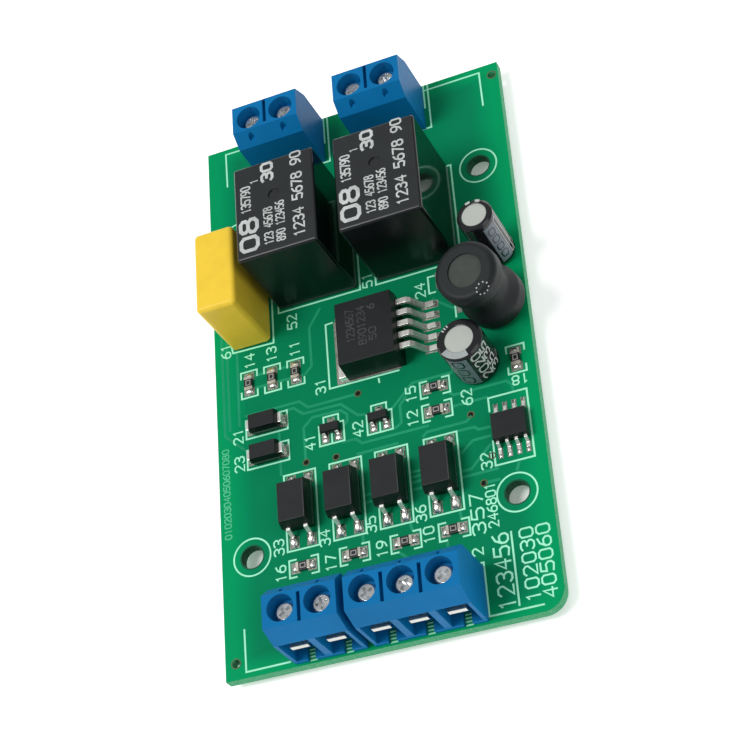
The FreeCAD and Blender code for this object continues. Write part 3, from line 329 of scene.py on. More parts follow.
# Meshes
def new_piece(name, build, material, body=ROOT):
    """Runs a function that fills a bmesh, and rides the closed mesh on a body."""
    bm = bmesh.new()
    build(bm)
    bmesh.ops.recalc_face_normals(bm, faces=bm.faces)
    mesh = bpy.data.meshes.new(name)
    bm.to_mesh(mesh)
    bm.free()
    mesh.materials.append(materials[material])
    piece = bpy.data.objects.new(name, mesh)
    bpy.context.scene.collection.objects.link(piece)
    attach(piece, body)


def prism(bm, outline, low, high):
    """Closed solid over a flat outline."""
    bottom = [bm.verts.new(at(x, y, low)) for x, y in outline]
    top = [bm.verts.new(at(x, y, high)) for x, y in outline]
    bm.faces.new(top)
    bm.faces.new(bottom[::-1])
    for k in range(len(outline)):
        after = (k + 1) % len(outline)
        bm.faces.new((bottom[k], bottom[after], top[after], top[k]))


def bridge(bm, one, two):
    """Four faces between two rows of four corners."""
    for k in range(4):
        after = (k + 1) % 4
        bm.faces.new((one[k], two[k], two[after], one[after]))


def divided(points, step, closed):
    """The line's corners with more points between them, so that it can follow a round side."""
    line = [Vector(point) for point in points]
    if closed:
        line.append(line[0])
    fuller = [line[0]]
    for start, end in zip(line, line[1:]):
        count = max(1, math.ceil((end - start).length / step))
        fuller += [start.lerp(end, k / count) for k in range(1, count + 1)]
    return fuller[:-1] if closed else fuller


WHOLE = 1000.0
SHARPEST_MITRE = 0.6
END_CAP = 0.35
layers = itertools.cycle(range(32))


def ribbon(bm, points, width, low, high, closed=False, place=at, step=WHOLE):
    """Closed flat strip of even width along a line, mitred at its corners.

    Each row lies a hair off the one before, so that strokes that cross don't share a plane. Its runs are
    divided into steps, which are longer than any run unless the strip lies on a round side.
    """
    line = divided(points, step, closed)
    count = len(line)
    rows = []
    for k in range(count):
        before = line[k - 1] if k > 0 or closed else None
        after = line[(k + 1) % count] if k < count - 1 or closed else None
        into = (line[k] - before).normalized() if before is not None else (after - line[k]).normalized()
        out = (after - line[k]).normalized() if after is not None else into
        side_in = Vector((-into.y, into.x))
        mitre = (side_in + Vector((-out.y, out.x))).normalized()
        reach = width / 2 / max(SHARPEST_MITRE, mitre.dot(side_in))
        middle = line[k].copy()
        if before is None:
            middle -= out * width * END_CAP
        if after is None:
            middle += into * width * END_CAP
        left = middle + mitre * reach
        right = middle - mitre * reach
        top = high + HAIR * next(layers)
        rows.append([bm.verts.new(place(point.x, point.y, height))
                     for point, height in ((left, low), (left, top), (right, top), (right, low))])
    pairs = list(zip(rows, rows[1:]))
    if closed:
        pairs.append((rows[-1], rows[0]))
    else:
        bm.faces.new(rows[0])
        bm.faces.new(rows[-1][::-1])
    for one, two in pairs:
        bridge(bm, one, two)


ROUND_STEP = 0.3


def patch(bm, u_low, u_high, v_low, v_high, low, high, place):
    """Thin closed sheet on a round side."""
    count = max(1, math.ceil((u_high - u_low) / ROUND_STEP))
    rows = []
    for k in range(count + 1):
        u = u_low + (u_high - u_low) * k / count
        rows.append([bm.verts.new(place(u, v, w))
                     for v, w in ((v_low, low), (v_low, high), (v_high, high), (v_high, low))])
    bm.faces.new(rows[0])
    bm.faces.new(rows[-1][::-1])
    for one, two in zip(rows, rows[1:]):
        bridge(bm, one, two)


def ring(bm, x, y, inner, outer, low, high, steps, start=0.0, end=360.0):
    """Flat ring or part of one, or a disc when inner is zero."""
    whole = end - start >= 360.0
    count = steps if whole else steps + 1
    turns = [math.radians(start + (end - start) * k / steps) for k in range(count)]
    if inner <= 0:
        prism(bm, [(x + outer * math.cos(a), y + outer * math.sin(a)) for a in turns], low, high)
        return
    rims = []
    for radius, z in ((outer, low), (outer, high), (inner, high), (inner, low)):
        rims.append([bm.verts.new(at(x + radius * math.cos(a), y + radius * math.sin(a), z)) for a in turns])
    for k in range(steps):
        after = (k + 1) % count
        for one, two in zip(rims, rims[1:] + rims[:1]):
            bm.faces.new((one[k], one[after], two[after], two[k]))
    if not whole:
        bm.faces.new([rim[0] for rim in rims])
        bm.faces.new([rim[-1] for rim in rims][::-1])


MOUND_LEVELS = 5
MOUND_ROUND = 0.7


def mound(bm, x, y, half_x, half_y, base, height, steps=20, square=2.6, hollow=0.0, peak=(0, 0)):
    """Solder fillet: a rounded footprint that rises in a curve to its peak, which may be off its middle."""
    levels = []
    for level in range(MOUND_LEVELS):
        t = level / MOUND_LEVELS
        lift = math.sin(t * math.pi / 2) ** (1.0 + hollow)
        size = math.cos(t * math.pi / 2) ** MOUND_ROUND if hollow == 0 else 1 - t
        row = []
        for k in range(steps):
            a = math.tau * k / steps
            c, s = math.cos(a), math.sin(a)
            px = half_x * size * math.copysign(abs(c) ** (2 / square), c) + peak[0] * t
            py = half_y * size * math.copysign(abs(s) ** (2 / square), s) + peak[1] * t
            row.append(bm.verts.new(at(x + px, y + py, base + height * lift)))
        levels.append(row)
    tip = bm.verts.new(at(x + peak[0], y + peak[1], base + height))
    bm.faces.new(levels[0][::-1])
    for low, high in zip(levels, levels[1:]):
        for k in range(steps):
            after = (k + 1) % steps
            face = bm.faces.new((low[k], low[after], high[after], high[k]))
            face.smooth = True
    for k in range(steps):
        face = bm.faces.new((levels[-1][k], levels[-1][(k + 1) % steps], tip))
        face.smooth = True


# Stroke digits for the printed numbers: each is a set of lines in a box four wide and six high
DIGITS = {
    "0": [[(1, 0), (3, 0), (4, 1), (4, 5), (3, 6), (1, 6), (0, 5), (0, 1), (1, 0)]],
    "1": [[(1, 5), (2, 6), (2, 0)]],
    "2": [[(0, 5), (1, 6), (3, 6), (4, 5), (4, 4), (0, 0), (4, 0)]],
    "3": [[(0, 5.4), (1, 6), (3, 6), (4, 5), (4, 4), (3, 3.2), (1.6, 3.2)],
          [(3, 3.2), (4, 2.2), (4, 1), (3, 0), (1, 0), (0, 0.8)]],
    "4": [[(3, 0), (3, 6), (0, 2), (4, 2)]],
    "5": [[(4, 6), (0.4, 6), (0, 3.4), (3, 3.6), (4, 2.6), (4, 1), (3, 0), (0, 0.4)]],
    "6": [[(3.6, 6), (1.4, 5), (0, 2.6), (0, 1), (1, 0), (3, 0), (4, 1), (4, 2.4), (3, 3.4), (1, 3.4),
           (0, 2.4)]],
    "7": [[(0, 6), (4, 6), (1.4, 0)]],
    "8": [[(1, 3.3), (0.2, 4.2), (0.2, 5.2), (1, 6), (3, 6), (3.8, 5.2), (3.8, 4.2), (3, 3.3), (1, 3.3),
           (0, 2.3), (0, 1), (1, 0), (3, 0), (4, 1), (4, 2.3), (3, 3.3)]],
    "9": [[(0.4, 0), (2.6, 1), (4, 3.4), (4, 5), (3, 6), (1, 6), (0, 5), (0, 3.6), (1, 2.6), (3, 2.6),
           (4, 3.6)]],
    " ": [],
}
DIGIT_H = 6
DIGIT_ADVANCE = 5.6
DIGIT_GAP = 1.6
ROW_SPARE = 0.3


def number(bm, text, x, y, height, turn, low, high, width, span=None, place=at, step=WHOLE):
    """Centred row of digits; turn is the reading direction in degrees, span the length of the whole row."""
    tall = height / DIGIT_H
    advance = span / (len(text) - ROW_SPARE) if span else DIGIT_ADVANCE * tall
    wide = advance / DIGIT_ADVANCE
    start = -(len(text) * advance - DIGIT_GAP * wide) / 2
    angle = math.radians(turn)
    for index, digit in enumerate(text):
        for stroke in DIGITS[digit]:
            line = []
            for u, v in stroke:
                across = start + index * advance + u * wide
                up = (v - DIGIT_H / 2) * tall
                line.append((x + across * math.cos(angle) - up * math.sin(angle),
                             y + across * math.sin(angle) + up * math.cos(angle)))
            ribbon(bm, line, width, low, high, place=place, step=step)


# Finishes of the carried-over solids, with their sharp edges eased
FLAT = 0.9999
WELD = 0.000001
EASED_FROM = 35


def dress(name, material, ease):
    """Flat faces stay flat and only round ones are smooth, by the normals that the frame brings."""
    obj = nodes[name]
    mesh = obj.data
    normals = [corner.vector.copy() for corner in mesh.corner_normals]
    mesh.materials.clear()
    mesh.materials.append(materials[material])
    for face in mesh.polygons:
        face.material_index = 0
        face.use_smooth = any(normals[k].dot(face.normal) < FLAT for k in face.loop_indices)
    weld = obj.modifiers.new("weld", "WELD")
    weld.merge_threshold = WELD
    if ease:
        eased = obj.modifiers.new("ease", "BEVEL")
        eased.width = ease * MM
        eased.segments = 2
        eased.limit_method = "ANGLE"
        eased.angle_limit = math.radians(EASED_FROM)
        eased.use_clamp_overlap = True
    weighted = obj.modifiers.new("normals", "WEIGHTED_NORMAL")
    weighted.weight = 100
    weighted.keep_sharp = True


dress("circuit_board", "board", ease=0.05)
for k in range(1, 5):
    dress(f"terminal_housing_{k}", "terminal", ease=0.12)
    dress(f"terminal_contacts_{k}", "clamp", ease=0.06)
for k in range(1, 10):
    dress(f"terminal_screw_{k}", "screw", ease=0.05)
    dress(f"wire_clamp_{k}", "clamp", ease=0.08)
for k in (1, 2):
    dress(f"relay_cover_{k}", "relay", ease=0.05)
    dress(f"relay_base_{k}", "relay", ease=0.05)
    dress(f"relay_pins_{k}", "tin", ease=0.05)
dress("film_capacitor_body", "film", ease=0.0)
dress("regulator_body", "package", ease=0.08)
for name in ("driver_chip_body", "optocoupler_bodies", "diode_bodies"):
    dress(name, "package", ease=0.06)
dress("transistor_bodies", "package", ease=0.04)
dress("resistor_bodies", "glaze", ease=0.03)
dress("resistor_end_caps", "cap_end", ease=0.05)
dress("regulator_tab", "tin", ease=0.05)
for part in ("regulator", "driver_chip", "optocoupler", "transistor", "diode", "film_capacitor",
             "input_capacitor", "output_capacitor", "coil"):
    dress(f"{part}_leads", "tin", ease=0.03)
for part in ("input", "output"):
    dress(f"{part}_capacitor_can", "can", ease=0.05)
    dress(f"{part}_capacitor_sleeve", "sleeve", ease=0.05)
    dress(f"{part}_capacitor_seal", "rubber", ease=0.05)
dress("coil_core", "ferrite", ease=0.05)
dress("coil_winding", "copper", ease=0.0)
dress("coil_sleeve", "wrap", ease=0.0)

# Plan places, as in the part
RESISTORS_X = [(32.46, 35.2), (32.47, 31.6), (26.5, 13.8), (33.2, 13.85), (12.0, 13.8), (19.3, 13.8)]
RESISTORS_Y = [(5.24, 43.6), (8.84, 43.55), (12.43, 43.45), (44.07, 36.2)]
RESISTOR_TOP = 0.55
TRANSISTORS = [(17.2, 33.0), (24.25, 32.8)]
DIODES = [(7.7, 36.3), (7.67, 31.6), (37.2, 51.3)]
OPTOS = [12.1, 18.85, 25.5, 32.5]
OPTO_Y = 22.1
OPTO_TOP = 3.6
CHIP = (42.4, 26.25)
CHIP_PITCH = 1.27
REGULATOR = (24.7, 44.6)
REGULATOR_TOP = 4.5
REGULATOR_PITCH = 1.75
REGULATOR_FEET = 32.9
RELAYS = [(16.6, 62.0), (31.7, 62.0)]
RELAY_TOP = 13.9
FILM = (5.95, 56.1)
INPUT_CAP = (38.8, 36.85)
INPUT_R = 3.15
INPUT_TOP = 7.5
OUTPUT_CAP = (43.5, 53.4)
OUTPUT_R = 2.5
OUTPUT_TOP = 10.0
COIL = (42.6, 45.45)
HOLE_X = 18.75
HOLE_Y = 25.8
HOLES = [(BOARD_W / 2 + sx * HOLE_X, BOARD_L / 2 + sy * HOLE_Y) for sx in (-1, 1) for sy in (-1, 1)]
TOOLING = [(BOARD_W - 0.96, BOARD_L - 2.02), (1.56, 2.3)]
BLOCK_POLES = [
    [(11.51, 81.6), (16.59, 81.6)],
    [(27.41, 81.6), (32.49, 81.6)],
    [(12.65, 3.95), (17.73, 3.95)],
    [(23.82, 3.95), (28.9, 3.95), (33.98, 3.95)],
]


def along_resistors():
    """Every resistor's middle and its long direction."""
    return [(x, y, 1, 0) for x, y in RESISTORS_X] + [(x, y, 0, 1) for x, y in RESISTORS_Y]


# Silkscreen
INK_LINES = [
    # broken frame round the board
    [(2.95, 6.8), (3.0, 0.85), (9.3, 0.9)],
    [(3.07, 78.6), (3.0, 84.6), (8.4, 84.5)],
    [(35.1, 84.5), (43.8, 84.5), (43.84, 78.6)],
    [(36.2, 8.4), (36.6, 8.4), (36.62, 1.0), (43.75, 1.0)],
    [(40.62, 11.7), (40.62, 1.6)],
    # terminal blocks
    [(8.5, 77.5), (8.4, 78.6)],
    [(19.2, 80.9), (19.2, 85.3)],
    [(19.83, 85.3), (19.83, 77.4), (18.6, 77.4)],
    [(35.2, 81.4), (35.2, 85.3)],
    [(35.85, 85.3), (35.85, 77.7), (34.2, 77.7)],
    # film capacitor
    [(9.4, 62.9), (9.3, 49.24), (2.92, 49.39), (2.6, 51.0)],
    # regulator
    [(18.4, 49.75), (17.35, 49.7), (17.35, 39.35), (27.6, 39.3)],
    [(24.6, 38.85), (24.65, 38.25)],
    # driver chip
    [(39.62, 29.4), (39.62, 31.42), (44.95, 31.42), (44.95, 21.4), (39.62, 21.4), (39.62, 25.0)],
    # fourth diode and the coil
    [(33.9, 52.6), (33.0, 52.6), (33.0, 49.95), (33.9, 49.95)],
    [(36.5, 45.1), (36.5, 46.8)],
]
INK_LOOPS = [
    [(10.3, 53.85), (22.95, 53.85), (22.95, 70.1), (10.3, 70.1)],
    [(25.35, 53.85), (38.05, 53.85), (38.05, 70.1), (25.35, 70.1)],
    [(4.45, 34.95), (10.75, 34.95), (10.75, 37.85), (4.45, 37.85)],
    [(4.45, 30.15), (10.75, 30.15), (10.75, 33.15), (4.45, 33.15)],
]
# Board place, text, digit height, row length and stroke of the larger plain numbers
ROWS = [
    (39.1, 6.6, "123456", 2.05, 10.2, 0.27),
    (42.55, 6.75, "102030", 1.75, 9.9, 0.24),
    (44.75, 6.75, "405060", 1.75, 9.9, 0.24),
    (38.5, 16.0, "246801", 1.3, 6.2, 0.2),
    (36.5, 15.25, "357", 1.7, 5.7, 0.24),
]
EDGE_ROWS = [(1.15, 27.3, "01020304050607080", 0.95, 13.7, 0.15)]
# Plain running numbers where the real board has part references
NUMBERS = [
    ("16", 8.63, 13.52), ("17", 15.86, 13.36), ("19", 23.12, 13.6), ("10", 29.71, 13.97),
    ("33", 8.53, 17.34), ("34", 15.23, 17.15), ("35", 21.85, 17.39), ("36", 28.88, 17.2),
    ("14", 5.45, 47.35), ("13", 8.87, 47.45), ("11", 12.45, 47.3), ("21", 3.2, 35.7), ("23", 3.25, 31.35),
    ("41", 13.95, 31.85), ("42", 21.05, 31.95), ("31", 16.0, 40.1), ("52", 12.29, 51.79), ("51", 24.09, 55.0),
    ("61", 1.8, 49.98), ("62", 36.75, 32.4), ("15", 29.0, 35.1), ("12", 28.95, 31.4), ("24", 31.71, 50.81),
    ("32", 38.45, 22.4), ("2", 36.0, 10.0),
]
NUMBER_H = 1.4
NUMBER_W = 0.22
OPTO_FRAME = (2.33, 5.7)
TRANSISTOR_FRAME = [(-1.85, -2.15), (1.8, -2.15), (1.8, 0.9), (1.1, 0.9), (1.1, 2.15), (-1.1, 2.15),
                    (-1.1, 0.9), (-1.85, 0.9)]
TRANSISTOR_STEM = [(0.0, -2.15), (0.0, -0.6)]
RESISTOR_BRACKET = [(1.1, 1.25), (2.1, 1.25), (2.1, -1.25), (1.1, -1.25)]
DASHES = 4
DASH_FROM_EDGE = 0.45
DASH_PITCH = 0.48
DASH_HALF = 0.42
DASH_W = 0.2
HOLE_RING = (2.6, 2.83)


def box(x, y, half_x, half_y):
    return [
        (x - half_x, y - half_y),
        (x + half_x, y - half_y),
        (x + half_x, y + half_y),
        (x - half_x, y + half_y),
    ]


def shifted(points, x, y):
    return [(x + u, y + v) for u, v in points]


def rows_of_digits(bm, rows, low, high, x=0.0, y=0.0):
    """Printed rows that read along the board, with their places counted from x and y."""
    for across, along, text, height, span, width in rows:
        number(bm, text, x + across, y + along, height, turn=90, low=low, high=high, width=width, span=span)


def silkscreen(bm):
    for line in INK_LINES:
        ribbon(bm, line, INK_W, 0.0, INK_T)
    for loop in INK_LOOPS:
        ribbon(bm, loop, INK_W, 0.0, INK_T, closed=True)
    for x in OPTOS:
        ribbon(bm, box(x, OPTO_Y, *OPTO_FRAME), INK_W, 0.0, INK_T, closed=True)
    for x, y in TRANSISTORS:
        ribbon(bm, shifted(TRANSISTOR_FRAME, x, y), INK_W, 0.0, INK_T, closed=True)
        ribbon(bm, shifted(TRANSISTOR_STEM, x, y), INK_W, 0.0, INK_T)
    for x, y, dx, dy in along_resistors():
        for side in (-1, 1):
            bracket = [(x + dx * side * u + dy * v, y + dy * side * u + dx * v) for u, v in RESISTOR_BRACKET]
            ribbon(bm, bracket, INK_W, 0.0, INK_T)
    for block in BLOCK_POLES:
        for x, y in block:
            for k in range(DASHES):
                edge = DASH_FROM_EDGE + k * DASH_PITCH
                dash_y = edge if y < BOARD_L / 2 else BOARD_L - edge
                ribbon(bm, [(x - DASH_HALF, dash_y), (x + DASH_HALF, dash_y)], DASH_W, 0.0, INK_T)
    for x, y in HOLES:
        ring(bm, x, y, *HOLE_RING, 0.0, INK_T, steps=64)
    for text, x, y in NUMBERS:
        number(bm, text, x, y, NUMBER_H, turn=90, low=0.0, high=INK_T, width=NUMBER_W)
    number(bm, "18", 44.25, 33.0, height=1.3, turn=180, low=0.0, high=INK_T, width=NUMBER_W)
    rows_of_digits(bm, ROWS, 0.0, INK_T)


def edge_number(bm):
    rows_of_digits(bm, EDGE_ROWS, 0.0, INK_T)


new_piece("silkscreen", silkscreen, "ink")
new_piece("edge_number", edge_number, "thin_ink")

# Copper tracks under the mask, seen as slightly raised, lighter lines
TRACKS = [
    [(4.5, 38.68), (12.65, 38.68), (13.97, 37.41), (20.9, 37.41)],
    [(10.7, 37.88), (11.8, 37.88), (13.15, 36.6), (18.8, 36.5), (21.2, 34.1), (22.1, 33.97)],
    [(13.15, 29.5), (13.1, 34.4), (14.5, 35.65), (18.7, 35.6), (19.6, 34.7), (19.6, 33.7), (19.2, 33.2)],
    [(18.8, 30.6), (20.6, 30.6), (21.5, 29.72), (31.0, 29.72)],
    [(26.15, 33.7), (28.1, 35.6), (29.3, 36.78), (35.0, 36.75)],
    [(26.4, 30.65), (27.3, 31.2), (27.3, 33.9), (28.2, 34.9)],
    [(20.7, 28.25), (26.5, 28.3)],
    [(30.2, 28.3), (30.7, 28.82), (36.3, 28.85), (37.0, 29.4)],
    [(35.0, 27.8), (37.3, 27.75), (37.9, 27.22), (39.4, 27.2)],
    [(35.2, 24.4), (36.9, 25.85), (39.3, 25.9)],
    [(35.1, 21.8), (36.3, 21.8), (39.2, 24.6)],
    [(35.0, 20.92), (39.9, 20.95)],
    [(34.5, 33.7), (35.0, 33.28), (42.4, 33.3), (43.1, 32.5), (43.1, 31.6)],
    [(34.7, 31.62), (39.5, 31.65)],
    [(38.2, 19.35), (39.9, 19.35)],
    [(42.75, 21.0), (42.4, 20.1)],
    [(3.5, 49.0), (3.45, 37.4)],
    [(1.15, 53.5), (1.2, 36.3), (4.4, 33.1)],
    [(1.9, 53.5), (2.0, 37.0)],
    [(16.6, 52.6), (14.85, 50.0), (14.85, 43.75), (13.8, 42.7)],
    [(6.3, 42.75), (13.4, 42.75)],
    [(6.3, 44.75), (11.3, 44.75)],
    [(9.4, 35.2), (9.4, 28.1)],
    [(27.3, 16.4), (27.5, 15.2)],
    [(25.6, 12.4), (26.6, 11.4)],
    [(32.1, 12.5), (32.1, 11.7)],
    [(34.2, 16.1), (34.3, 15.1)],
    [(20.6, 16.3), (20.6, 15.0)],
    [(33.4, 48.9), (36.2, 46.6)],
]
TRACKS += [[(27.9, y), (29.3, y)] for y in (23.5, 22.75, 22.0, 20.9)]
TRACKS += [[(21.1, y), (22.2, y)] for y in (21.9, 20.8)]


def tracks(bm):
    for line in TRACKS:
        ribbon(bm, line, TRACK_W, 0.0, TRACK_T)


new_piece("copper_tracks", tracks, "track")

VIAS = [(13.2, 29.0), (17.6, 28.65), (21.42, 37.43), (37.03, 29.7), (39.32, 22.95), (37.8, 19.35)]
VIA_RING = (0.36, 0.52)
VIA_DISC = 0.365
TOOLING_RING = (0.6, 0.72)
MASK_RING = (1.62, 1.8)


def via_rings(bm):
    for low, high in ((0.0, PAD_T), (BELOW - PAD_T, BELOW)):
        for x, y in VIAS:
            ring(bm, x, y, *VIA_RING, low, high, steps=24)
        for x, y in TOOLING:
            ring(bm, x, y, *TOOLING_RING, low, high, steps=24)


# Dark discs over each via, top and bottom: the holes' shade painted on.
def via_hole_shade(bm):
    for x, y in VIAS:
        for low, high in ((0.0, DISC_T), (BELOW - DISC_T, BELOW)):
            ring(bm, x, y, 0.0, VIA_DISC, low, high, steps=24)


def hole_rims(bm):
    """Mask drawn back round the mounting holes."""
    for x, y in HOLES:
        ring(bm, x, y, *MASK_RING, 0.0, TRACK_T, steps=48)


new_piece("via_rings", via_rings, "via")
new_piece("via_hole_shade", via_hole_shade, "hole")
new_piece("hole_rims", hole_rims, "rim")

# Solder pads and fillets on the component side
TRANSISTOR_SPREAD = 0.95
OPTO_SPREAD = 1.27
# By kind of surface lead: how far out its pad lies, and the pad's half sizes along and across the lead
PADS = {
    "resistor": (1.2, 0.62, 0.8),
    "diode": (2.45, 0.65, 0.95),
    "transistor": (1.2, 0.7, 0.55),
    "collector": (1.2, 0.6, 0.55),
    "optocoupler": (4.6, 0.85, 0.7),
    "chip": (3.2, 0.85, 0.33),
    "regulator": (0.0, 1.25, 0.55),
}
# The same of its solder fillet, then the fillet's height and how far its peak leans back to the part
FILLETS = {
    "resistor": (1.32, 0.42, 0.66, 0.4, 0.15),
    "diode": (2.75, 0.25, 0.8, 0.5, 0.0),
    "transistor": (1.3, 0.58, 0.47, 0.2, 0.2),
    "collector": (1.3, 0.45, 0.45, 0.3, 0.2),
    "optocoupler": (4.6, 0.95, 0.64, 0.62, 0.45),
    "chip": (3.3, 0.75, 0.29, 0.17, 0.0),
    "regulator": (0.1, 1.0, 0.5, 0.32, 0.0),
}
TAB_PAD = (23.3, REGULATOR[1], 4.75, 5.05)
SPARE_PAD = (37.05, 46.2, 0.35, 0.6)


def surface_leads():
    """Every surface lead: its kind, the place it is counted from, and the direction that it points in."""
    for x, y, dx, dy in along_resistors():
        for side in (-1, 1):
            yield "resistor", x, y, side * dx, side * dy
    for x, y in DIODES:
        for side in (-1, 1):
            yield "diode", x, y, side, 0
    for x, y in TRANSISTORS:
        for side in (-1, 1):
            yield "transistor", x + side * TRANSISTOR_SPREAD, y, 0, -1
        yield "collector", x, y, 0, 1
    for x in OPTOS:
        for shift in (-OPTO_SPREAD, OPTO_SPREAD):
            for side in (-1, 1):
                yield "optocoupler", x + shift, OPTO_Y, 0, side
    for k in range(4):
        for side in (-1, 1):
            yield "chip", CHIP[0] + (k - 1.5) * CHIP_PITCH, CHIP[1], 0, side
    for k in range(5):
        yield "regulator", REGULATOR_FEET, REGULATOR[1] + (k - 2) * REGULATOR_PITCH, 1, 0


def footprint(x, y, dx, dy, out, along, across):
    """Middle and half sizes of a rectangle that lies out from a place in a direction."""
    half = (along, across) if dx else (across, along)
    return (x + out * dx, y + out * dy, *half)


def surface_pads(bm):
    for kind, x, y, dx, dy in surface_leads():
        prism(bm, box(*footprint(x, y, dx, dy, *PADS[kind])), 0.0, PAD_T)
    for pad in (TAB_PAD, SPARE_PAD):
        prism(bm, box(*pad), 0.0, PAD_T)


def fillets(bm):
    """Solder drawn up round each surface lead."""
    for kind, x, y, dx, dy in surface_leads():
        *size, height, lean = FILLETS[kind]
        mound(bm, *footprint(x, y, dx, dy, *size), PAD_T, height, peak=(-lean * dx, -lean * dy))


new_piece("surface_pads", surface_pads, "pad")
new_piece("solder_fillets", fillets, "solder")

# Solder cones and rings round the through leads on the underside
SUPPLY_PINS_Y = 6.45
OUTPUT_PINS_Y = BOARD_L - 6.4
RELAY_PINS = [(-4.5, -6.0), (4.5, -6.0), (0.0, 6.0), (-4.5, 6.0), (4.5, 6.0)]
TERMINAL_CONE = 1.25
RELAY_CONE = 1.2
CONE_SHARE = 0.9
CONE_H = 1.15
# Middle, half the distance of the two leads in x and in y, and the radius of their solder
LEAD_PAIRS = [(FILM, 0, 5.0, 1.0), (INPUT_CAP, 1.25, 0, 1.0), (OUTPUT_CAP, 1.0, 0, 0.85), (COIL, 2.5, 0, 1.0)]
THROUGH = []
for block in BLOCK_POLES:
    for x, y in block:
        THROUGH.append((x, SUPPLY_PINS_Y if y < BOARD_L / 2 else OUTPUT_PINS_Y, TERMINAL_CONE))
for relay in RELAYS:
    for x, y in shifted(RELAY_PINS, *relay):
        THROUGH.append((x, y, RELAY_CONE))
for (x, y), dx, dy, size in LEAD_PAIRS:
    for side in (-1, 1):
        THROUGH.append((x + side * dx, y + side * dy, size))


def under_solder(bm):
    for x, y, size in THROUGH:
        cone = size * CONE_SHARE
        ring(bm, x, y, 0.0, size, BELOW - PAD_T, BELOW, steps=28)
        mound(bm, x, y, cone, cone, BELOW - PAD_T, -CONE_H, steps=24, square=2.0, hollow=0.25)


new_piece("under_solder", under_solder, "solder")

# Prints on the parts, all plain digits. Rows are given as those of the board, on relays from their middle
RELAY_ROWS = [
    (3.5, 0.65, "1234 5678 90", 1.5, 14.0, 0.26),
    (-1.05, -3.3, "123 45678", 1.25, 6.0, 0.19),
    (0.75, -3.05, "890 123456", 1.25, 6.5, 0.19),
    (-4.3, 2.1, "135790", 1.35, 4.3, 0.22),
    (-4.0, -3.9, "08", 2.5, 5.0, 0.55),
    (-0.9, 5.75, "30", 1.6, 2.9, 0.42),
    (-2.9, 4.8, "1", 1.1, None, 0.16),
]
REGULATOR_ROWS = [
    (22.7, 45.4, "1234567", 1.1, 5.0, 0.16),
    (24.4, 45.0, "8901234", 1.1, 6.0, 0.16),
    (25.9, 43.3, "50", 1.0, 1.9, 0.16),
    (25.9, 47.6, "6", 1.0, None, 0.16),
]
# On the cans: middle and radius of the can, azimuth and height of the row, then as above
INPUT_ROWS = [
    (INPUT_CAP, INPUT_R, -57, 3.9, "2020", 1.35, 5.8, 0.24),
    (INPUT_CAP, INPUT_R, -27, 3.9, "3535", 1.35, 5.8, 0.24),
]
STRIPE_ROWS = [
    (INPUT_CAP, INPUT_R, -107, 3.8, "000", 1.5, 5.6, 0.22),
    (OUTPUT_CAP, OUTPUT_R, -51, 5.0, "0000", 1.0, 6.6, 0.18),
]
# Middle and radius of the can, start and end azimuth, lower and upper end of its stripe
STRIPES = [
    (INPUT_CAP, INPUT_R, -134, -80, 0.6, 7.0),
    (OUTPUT_CAP, OUTPUT_R, -72, -30, 0.8, 9.1),
]
# Middle, inner and outer radius, height, start and end azimuth and steps of the marks on the rims
RIM_MARKS = [(INPUT_CAP, 2.45, 2.85, INPUT_TOP, start, start + 4, 3) for start in (120, 129, 138)]
RIM_MARKS += [(OUTPUT_CAP, 1.95, 2.3, OUTPUT_TOP, start, start + 18, 6) for start in (61, 99)]
RIM_SECTORS = [(INPUT_CAP, 2.05, 2.98, INPUT_TOP, -148, -68, 20)]
OUTPUT_FRAME = [(-26, 1.0), (-26, 8.9), (-12, 9.2), (-12, 0.8)]
OUTPUT_FRAME_W = 0.12
STRIPE_MARK_LOW = 0.008
STRIPE_MARK_HIGH = 0.016
# Pale line along the top edge of each optocoupler: a painted highlight.
OPTO_HIGHLIGHT = [(1.8, -2.7), (1.8, 2.7)]
OPTO_HIGHLIGHT_W = 0.09
RESISTOR_MARK = (0.36, 0.3)
RESISTOR_MARK_W = 0.15
RESISTOR_MARK_LOW = RESISTOR_TOP - 0.06
RESISTOR_MARK_HIGH = RESISTOR_TOP - 0.03


def relay_prints(bm):
    for x, y in RELAYS:
        rows_of_digits(bm, RELAY_ROWS, RELAY_TOP - PRINT_T, RELAY_TOP + PRINT_T, x, y)


def can_rows(bm, rows, low, high):
    """Rows of digits that read up the side of a can."""
    for middle, radius, degrees, z, text, height, span, width in rows:
        number(bm, text, radius * math.radians(degrees), z, height, turn=90, low=low, high=high,
               width=width, span=span, place=round_can(*middle, radius), step=ROUND_STEP)


def rim_arcs(bm, arcs):
    for middle, inner, outer, top, start, end, steps in arcs:
        ring(bm, *middle, inner, outer, top - PRINT_T, top + PRINT_T, steps=steps, start=start, end=end)


def cap_prints(bm):
    """Rows of digits and a thin frame on the sleeves, and small marks on their rims."""
    can_rows(bm, INPUT_ROWS, 0.0, FILM_T)
    rim_arcs(bm, RIM_MARKS)
    frame_line = [(OUTPUT_R * math.radians(degrees), z) for degrees, z in OUTPUT_FRAME]
    ribbon(bm, frame_line, OUTPUT_FRAME_W, 0.0, FILM_T, closed=True, place=round_can(*OUTPUT_CAP, OUTPUT_R),
           step=ROUND_STEP)


def cap_stripes(bm):
    for middle, radius, start, end, z_low, z_high in STRIPES:
        patch(bm, radius * math.radians(start), radius * math.radians(end), z_low, z_high, 0.0, STRIPE_T,
              round_can(*middle, radius))


def cap_sectors(bm):
    rim_arcs(bm, RIM_SECTORS)


def stripe_marks(bm):
    """Dark digits within the grey stripes."""
    can_rows(bm, STRIPE_ROWS, STRIPE_MARK_LOW, STRIPE_MARK_HIGH)


